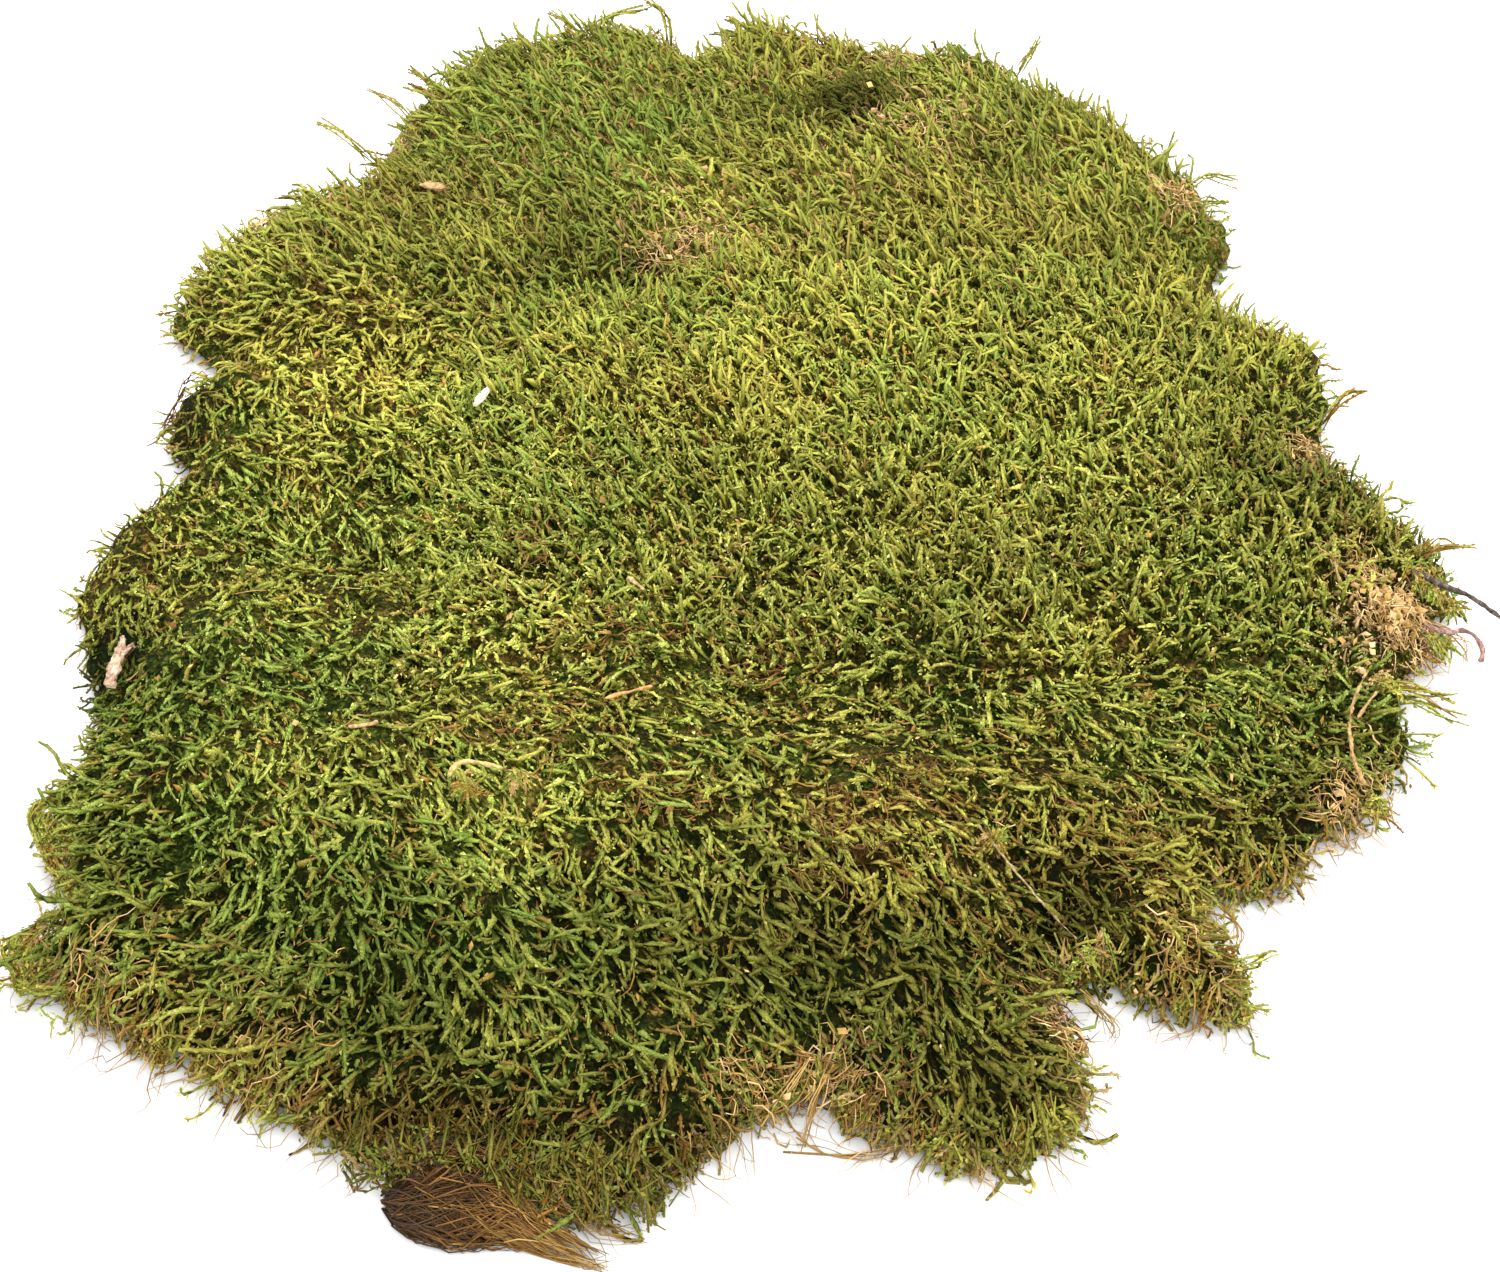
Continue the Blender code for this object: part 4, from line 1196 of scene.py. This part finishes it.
# ---- leafy strays at the torn edge -------------------------------------------------------
STRAYS = [[(108, -22, 8), (112, -20, 10), (118, -20, 10)], [(108, -22, 8), (111, -20, 11)],
          [(100, -52, 6), (104, -54, 7), (110, -57, 5)], [(98, -50, 6), (104, -51, 7), (109, -52, 6)],
          [(80, 84, 8), (86, 88, 10), (92, 88, 9)], [(79, 80, 8), (86, 83, 9), (90, 82, 8)],
          [(98, 14, 8), (103, 19, 10), (107, 22, 9)], [(63, -112, 7), (66, -110, 6), (68, -108, 5)],
          [(64, -108, 8), (68, -108, 8), (72, -105, 7)], [(52, 132, 7), (57, 139, 10)],
          [(-39, 139, 11), (-37, 144, 13), (-31, 146, 14), (-27, 147, 14)],
          [(-44, 137, 11), (-44, 140, 13), (-48, 144, 14)],
          [(-49, 133, 11), (-55, 135, 13), (-60, 133, 13)],
          [(-70, 117, 11), (-73, 121, 13), (-76, 123, 14)], [(-70, 116, 11), (-76, 118, 13)],
          [(-72, 103, 10), (-78, 111, 12), (-84, 116, 13)],
          [(-82, 95, 10), (-88, 101, 12), (-94, 105, 13)],
          [(-84, 76, 9), (-92, 79, 12), (-99, 79, 12)],
          [(-6, 133, 11), (-8, 139, 13), (-10, 143, 13)],
          [(-22, 140, 8), (-24, 147, 12), (-28, 151, 13)]]
STRAY_BUNDLE = 4               # each of them is this many shoots
# torn webs of the left edge: the outline from the upper foot round the tip to the lower foot
WEBS = [[(-106, -70, 7), (-112, -73, 6.5), (-117.7, -75.9, 6), (-115, -83.4, 6),
         (-111.8, -88.4, 6), (-107, -96, 6)],
        [(-107, -94, 5.5), (-112.5, -98, 5), (-116.3, -102.2, 5), (-113.7, -108.1, 5),
         (-111.8, -110.3, 5), (-104, -110, 5)]]
WEB_SHOOTS = 90
# places where shoots lie over the ends of the litter: x, y and reach
COVERED_SPOTS = [(106, -28.8, 1.5), (108.5, -29.8, 1.6), (111, -30.8, 1.4), (113, -31.6, 1.2),
                 (109.5, -30.2, 1.2), (97, -53.5, 1.4),
                 (92.6, -77, 1.6), (109, -40.6, 1.6), (31, -90.5, 1.4), (45.4, -106, 1.6),
                 (-47, -88.5, 0.9), (-39.5, -84.6, 0.9)]
COVERING_SHOOTS = 14
# painted light and shade of the rim strays, and painted shade on the hanging fringe
EDGE_TOP = 5.0                 # their height beside the mat
STRAY_LIGHT_AND_SHADE = -0.12
FRINGE_SHADE = -0.24
SHADED_DROP = 0.28             # the fringe's painted shade deepens by this behind the root wad
RIM_STRAYS = 130
FRINGE_NUMBER = 640
WAD_FRINGE = 150


class Rim:
    """The mat's foot: gives places along it with the direction out of it."""
    def __init__(self):
        bm = merged_copy("moss_mat")
        edges = []
        for edge in bm.edges:
            steep = [f for f in edge.link_faces if f.normal.z > DOWNWARD]
            if steep and max(v.co.z for v in edge.verts) <= ON_GROUND * MM:
                out = Vector((steep[0].normal.x, steep[0].normal.y)).normalized()
                a, b = (v.co / MM for v in edge.verts)
                edges.append((a.x, a.y, b.x, b.y, out.x, out.y, (a - b).length))
        bm.free()
        self.edges = np.array(edges)
        self.shares = self.edges[:, 6] / self.edges[:, 6].sum()

    def distance(self, spots):
        """How far spots are from the rim, seen from above."""
        middles = (self.edges[:, :2] + self.edges[:, 2:4]) / 2
        return np.array([np.hypot(*(middles - spot[:2]).T).min() for spot in spots])

    def place(self, random):
        edge = self.edges[random.choice(len(self.edges), p=self.shares)]
        t = random.random()
        return edge[:2] * (1 - t) + edge[2:4] * t, edge[4:6]


def slanted(out, side):
    """A direction out of the mat, turned aside."""
    run = np.array((out[0] - side * out[1], out[1] + side * out[0]))
    return run / np.linalg.norm(run)


def bundled_lines(random):
    """Single shoots and sprigs that stick out of the rim at set places."""
    return [loosened(points, 0.7, LINE_POINTS, random)
            for points in STRAYS for _ in range(STRAY_BUNDLE)]


def web_lines(random):
    """Shoots that follow the outlines of the torn webs, the more tightly the further in."""
    lines = []
    for outline in WEBS:
        outline = curve_through(outline, LINE_POINTS)
        foot = (outline[0] + outline[-1]) / 2
        for _ in range(WEB_SHOOTS):
            begin = random.integers(0, LINE_POINTS - 8)
            end = min(begin + random.integers(6, 16), LINE_POINTS - 1)
            inward = random.random() ** 1.5
            points = outline[np.linspace(begin, end, 4).astype(int)] * (1 - inward) + foot * inward
            lines.append(loosened(points, 0.45, LINE_POINTS, random))
    return lines


def covering_lines(random):
    """Low arches over the ends of the litter."""
    lines = []
    for x, y, reach in COVERED_SPOTS:
        for _ in range(COVERING_SHOOTS):
            middle = random.normal(0, 0.6 * reach, 2) + (x, y)
            turn = random.uniform(0, 2 * math.pi)
            run = np.array((math.cos(turn), math.sin(turn))) * random.uniform(1.5, 3.2)
            points = []
            for share, lift in ((-1, 0.0), (-0.3, 1.6), (0.4, 1.9), (1, 0.8)):
                spot = middle + share * run
                top = mat_height(*spot)
                points.append((*spot, (EDGE_TOP if top is None else top) + lift))
            lines.append(curve_through(points, LINE_POINTS))
    return lines


def rim_lines(random):
    """Single shoots that stick out of the rim all round, shorter at the back and the left."""
    lines = []
    for _ in range(RIM_STRAYS):
        foot, out = RIM.place(random)
        height = random.uniform(2, 7)
        length = random.uniform(3, 8) * (0.7 if foot[1] > -60 else 1.0)
        if foot[0] < -85 and -75 < foot[1] < 30:
            length *= 0.5
        run = slanted(out, random.uniform(-0.9, 0.9))
        rise = random.uniform(-0.5, 0.6)
        points = [(*(foot - 1.5 * out), height)]
        for share in (0.45, 0.8, 1.0):
            spot = foot + run * length * share + random.normal(0, 0.12, 2) * length
            points.append((*spot, max(height + rise * length * share, 0.6)))
        lines.append(curve_through(points, LINE_POINTS))
    return lines


def front_lines(random):
    """Shoots that hang down over the front edge to the ground."""
    lines = []
    while len(lines) < FRINGE_NUMBER:
        foot, out = RIM.place(random)
        if random.random() > blend_step(-55, -100, foot[1]):
            continue
        run = slanted(out, random.uniform(-0.8, 0.8))
        height = random.uniform(3, 10.5)
        fall = random.uniform(0.5, 1)
        points = [(*(foot - random.uniform(1.5, 4) * out), height)]
        for share, reach in ((0.25, -0.5), (0.5, 0.2), (0.75, 0.6), (1.0, 0.8)):
            spot = foot + reach * run + random.normal(0, 1.0, 2)
            points.append((*spot, max(height * (1 - fall * share), 0.4)))
        lines.append(curve_through(points, LINE_POINTS))
    return lines


def wad_lines(random):
    """Shoots that hang over the root wad, further over its thin end."""
    lines = []
    for _ in range(WAD_FRINGE):
        x = random.uniform(-60, -18)
        over = random.uniform(0, 0.7) * float(blend_step(-56, -34, x))
        top = random.uniform(8, 11.5)
        points = [(x, random.uniform(-140, -135), top - 2)]
        for share in (0.25, 0.5, 0.75, 1.0):
            points.append((x + random.normal(2 * share, 1.6), -140 - (4 + 8 * over) * share
                           + random.normal(0, 0.7), max(top - (4 + 4 * over) * share ** 2, 0.8)))
        lines.append(curve_through(points, LINE_POINTS))
    return lines


def edge_shoots(name, lines, light_and_shade_levels, dead_share, tones, even, finish, random):
    """A shoot along each of the lines, joined into one piece."""
    def along_lines():
        for number, (line, glow) in enumerate(zip(lines, light_and_shade_levels)):
            mesh = shoot("edge shoot", line, rings=6, leaves=9, radius=random.uniform(0.17, 0.30),
                         leaf_length=0.9, leaf_width=0.5, opening=math.radians(34),
                         seed=500 + number)
            count = len(mesh.vertices)
            own = (random.uniform(0.1, 0.9), random.random(), float(random.random() < dead_share))
            set_attribute(mesh, "own", [own] * count, "FLOAT_VECTOR")
            looks = {"tone": random.uniform(*tones), "glow": glow, "even": even,
                     "pale": 0.5 * float(random.random() < 0.4)}
            for key, value in looks.items():
                set_attribute(mesh, key, np.full(count, value))
            yield mesh

    mesh = joined(name, along_lines())
    keep_off_floor(mesh)
    return painted(name, mesh, finish)


def rim_strays(finish, random):
    """Shoots that stick out of the rim, the torn webs, and shoots over the litter's ends."""
    lines = bundled_lines(random) + web_lines(random) + covering_lines(random) + rim_lines(random)
    return edge_shoots("rim_strays", lines, [STRAY_LIGHT_AND_SHADE] * len(lines), dead_share=0.35,
                       tones=(0.2, 0.8), even=0.4, finish=finish, random=random)


def front_fringe(finish, random):
    """The hanging shoots, with painted shade that is darkest behind the root wad."""
    lines = front_lines(random) + wad_lines(random)
    shaded = [float(blend_step(-74, -56, line[0][0]) * blend_step(8, -15, line[0][0]))
              for line in lines]
    light_and_shade_levels = [FRINGE_SHADE - SHADED_DROP * share for share in shaded]
    return edge_shoots("front_fringe", lines, light_and_shade_levels, dead_share=0.5, tones=(0.3, 0.85), even=0.6,
                       finish=finish, random=random)


THREAD_NUMBER = 420


def rim_threads(finish):
    """Thin dead threads that hang from the foot of the front and lie on the ground."""
    random = np.random.default_rng(THREAD_SEED)
    strands = Strands()
    while strands.number < THREAD_NUMBER:
        foot, out = RIM.place(random)
        front = float(blend_step(-60, -115, foot[1]))
        if random.random() > 0.25 + 0.75 * front:
            continue
        length = random.uniform(2.5, 5 + 5 * front)
        run = slanted(out, random.uniform(-1.1, 1.1))
        height = random.uniform(0.4, 5)
        points = [(*(foot - out), height)]
        for share in (0.35, 0.7, 1.0):
            spot = foot + run * length * share + random.normal(0, 0.1, 2) * length
            points.append((*spot, max(height * (1 - 1.1 * share), STRAND_HEIGHT)))
        strands.add(curve_through(points, 6), random.uniform(0.1, 0.24), random.uniform(0.3, 1),
                    np.clip(random.normal(0.70, 0.12), 0.5, 1))
    return painted("rim_threads", strands.mesh("rim_threads"), finish)


# ---- litter ------------------------------------------------------------------------------
STRAW_LOOK = ((0.130, 0.065, 0.022), (0.350, 0.220, 0.095), (0.560, 0.420, 0.230))
FORK_LOOK = ((0.100, 0.055, 0.015), (0.280, 0.165, 0.055), (0.480, 0.320, 0.150))
BARK_LOOK = ((0.100, 0.055, 0.030), (0.350, 0.230, 0.150), (0.640, 0.490, 0.370))
LITTER_LOOKS = {               # colours, size of the grain and roughness of the shape
    "hooked_straw": (((0.140, 0.090, 0.020), (0.380, 0.280, 0.090), (0.600, 0.500, 0.240)), 0.9, 0.22),
    "short_straw": (STRAW_LOOK, 0.9, 0.2),
    "orange_straw": (((0.180, 0.080, 0.020), (0.400, 0.210, 0.060), (0.600, 0.400, 0.190)), 0.8, 0.25),
    "bent_straw": (STRAW_LOOK, 0.9, 0.2),
    "pale_stem": (((0.090, 0.055, 0.020), (0.230, 0.155, 0.070), (0.540, 0.400, 0.240)), 0.8, 0.25),
    "dark_twig": (((0.012, 0.008, 0.007), (0.050, 0.034, 0.028), (0.200, 0.150, 0.120)), 0.8, 0.2),
    "forked_stem": (FORK_LOOK, 0.8, 0.3),
    "forked_stem_branch": (FORK_LOOK, 0.8, 0.2),
    "dry_curl": (((0.060, 0.026, 0.022), (0.190, 0.100, 0.080), (0.420, 0.270, 0.220)), 0.6, 0.25),
    "bark_flake": (BARK_LOOK, 0.8, 0.65),
    "dead_leaf": (((0.110, 0.055, 0.018), (0.260, 0.150, 0.055), (0.420, 0.290, 0.140)), 1.0, 0.35),
    "pale_sliver": (((0.360, 0.300, 0.200), (0.600, 0.540, 0.410), (0.780, 0.740, 0.620)), 0.8, 0.2),
}
FLAT_LITTER = {"bark_flake", "dead_leaf", "pale_sliver"}
# drawn in by this many millimetres, because their roughness makes them thicker
SLIMMING = {"pale_stem": 0.2, "forked_stem": 0.3, "forked_stem_branch": 0.15, "dry_curl": 0.0,
            "orange_straw": 0.12, "bark_flake": 0.42, "dead_leaf": 0.15}


def litter_piece(node):
    """A litter node made finer, rough and a little slimmer, in its own colours."""
    colours, grain, rough = LITTER_LOOKS[node]
    flat = node in FLAT_LITTER
    finer = subdivided(node + "_detail", mesh_of(node, merged_copy(node)), 3 if flat else 2, flat)
    spots = points_of(finer)
    lumps = noise_at(spots, 1.6, 3.0) + 0.6 * noise_at(spots, 0.6, 5.0)
    lumps = lumps * rough - SLIMMING.get(node, 0.0)
    move_points(finer, spots + normals_of(finer) * lumps[:, None])
    finer.shade_smooth()
    piece = painted(node + "_detail", finer, litter_material(node + "_look", colours, grain))
    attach(piece, "root")
    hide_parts(node)


# ---- stage -------------------------------------------------------------------------------
def add_camera():
    camera = link_object("camera", bpy.data.cameras.new("camera"))
    camera.data.lens = LENS_MM
    camera.data.sensor_width = SENSOR_MM
    camera.data.clip_start = 0.01
    back = Vector((0, -math.cos(VIEW_DOWN), math.sin(VIEW_DOWN)))
    camera.location = VIEW_TARGET + back * VIEW_DISTANCE
    camera.rotation_euler = (math.pi / 2 - VIEW_DOWN, 0, 0)
    bpy.context.scene.camera = camera


def area_light(name, place, size, power):
    light = link_object(name, bpy.data.lights.new(name, "AREA"))
    light.data.shape = "DISK"
    light.data.size = size
    light.data.energy = power
    light.location = place
    light.rotation_euler = (LIGHT_TARGET - Vector(place)).to_track_quat("-Z", "Y").to_euler()


def add_stage():
    bm = bmesh.new()
    bmesh.ops.create_grid(bm, x_segments=1, y_segments=1, size=FLOOR_HALF)
    floor = painted("floor", mesh_of("floor", bm), floor_material())
    world = bpy.data.worlds.new("studio")
    bpy.context.scene.world = world
    world.use_nodes = True
    sky = world.node_tree.nodes["Background"]
    sky.inputs["Color"].default_value = (1, 1, 1, 1)
    sky.inputs["Strength"].default_value = SKY_STRENGTH
    area_light("key", *KEY_LIGHT)
    area_light("fill", *FILL_LIGHT)
    bpy.context.scene.view_settings.view_transform = "Standard"


# ---- make it -----------------------------------------------------------------------------
STREAKS = streak_group()
solid_mat = merged_copy("moss_mat")
MAT_SURFACE = BVHTree.FromBMesh(solid_mat)
solid_mat.free()
RIM = Rim()
add_camera()
add_stage()
felt = felt_material()
moss = moss_material()
fibres = fibre_material()
core = mat_core(felt)
sections = wad_sections()
wad = wad_core(sections, felt)
roots = root_fibres(sections, fibres)
chance = np.random.default_rng(EDGE_SEED)
mossy = [core, *moss_shoots(moss), rim_strays(moss, chance), front_fringe(moss, chance)]
rooty = [wad, roots, dry_fibres(fibres), fine_litter(fibres), rim_threads(fibres)]
for piece in mossy:
    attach(piece, "root")
for piece in rooty:
    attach(piece, "root")
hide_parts("moss_mat")
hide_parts("root_wad")
for node in LITTER_LOOKS:
    litter_piece(node)
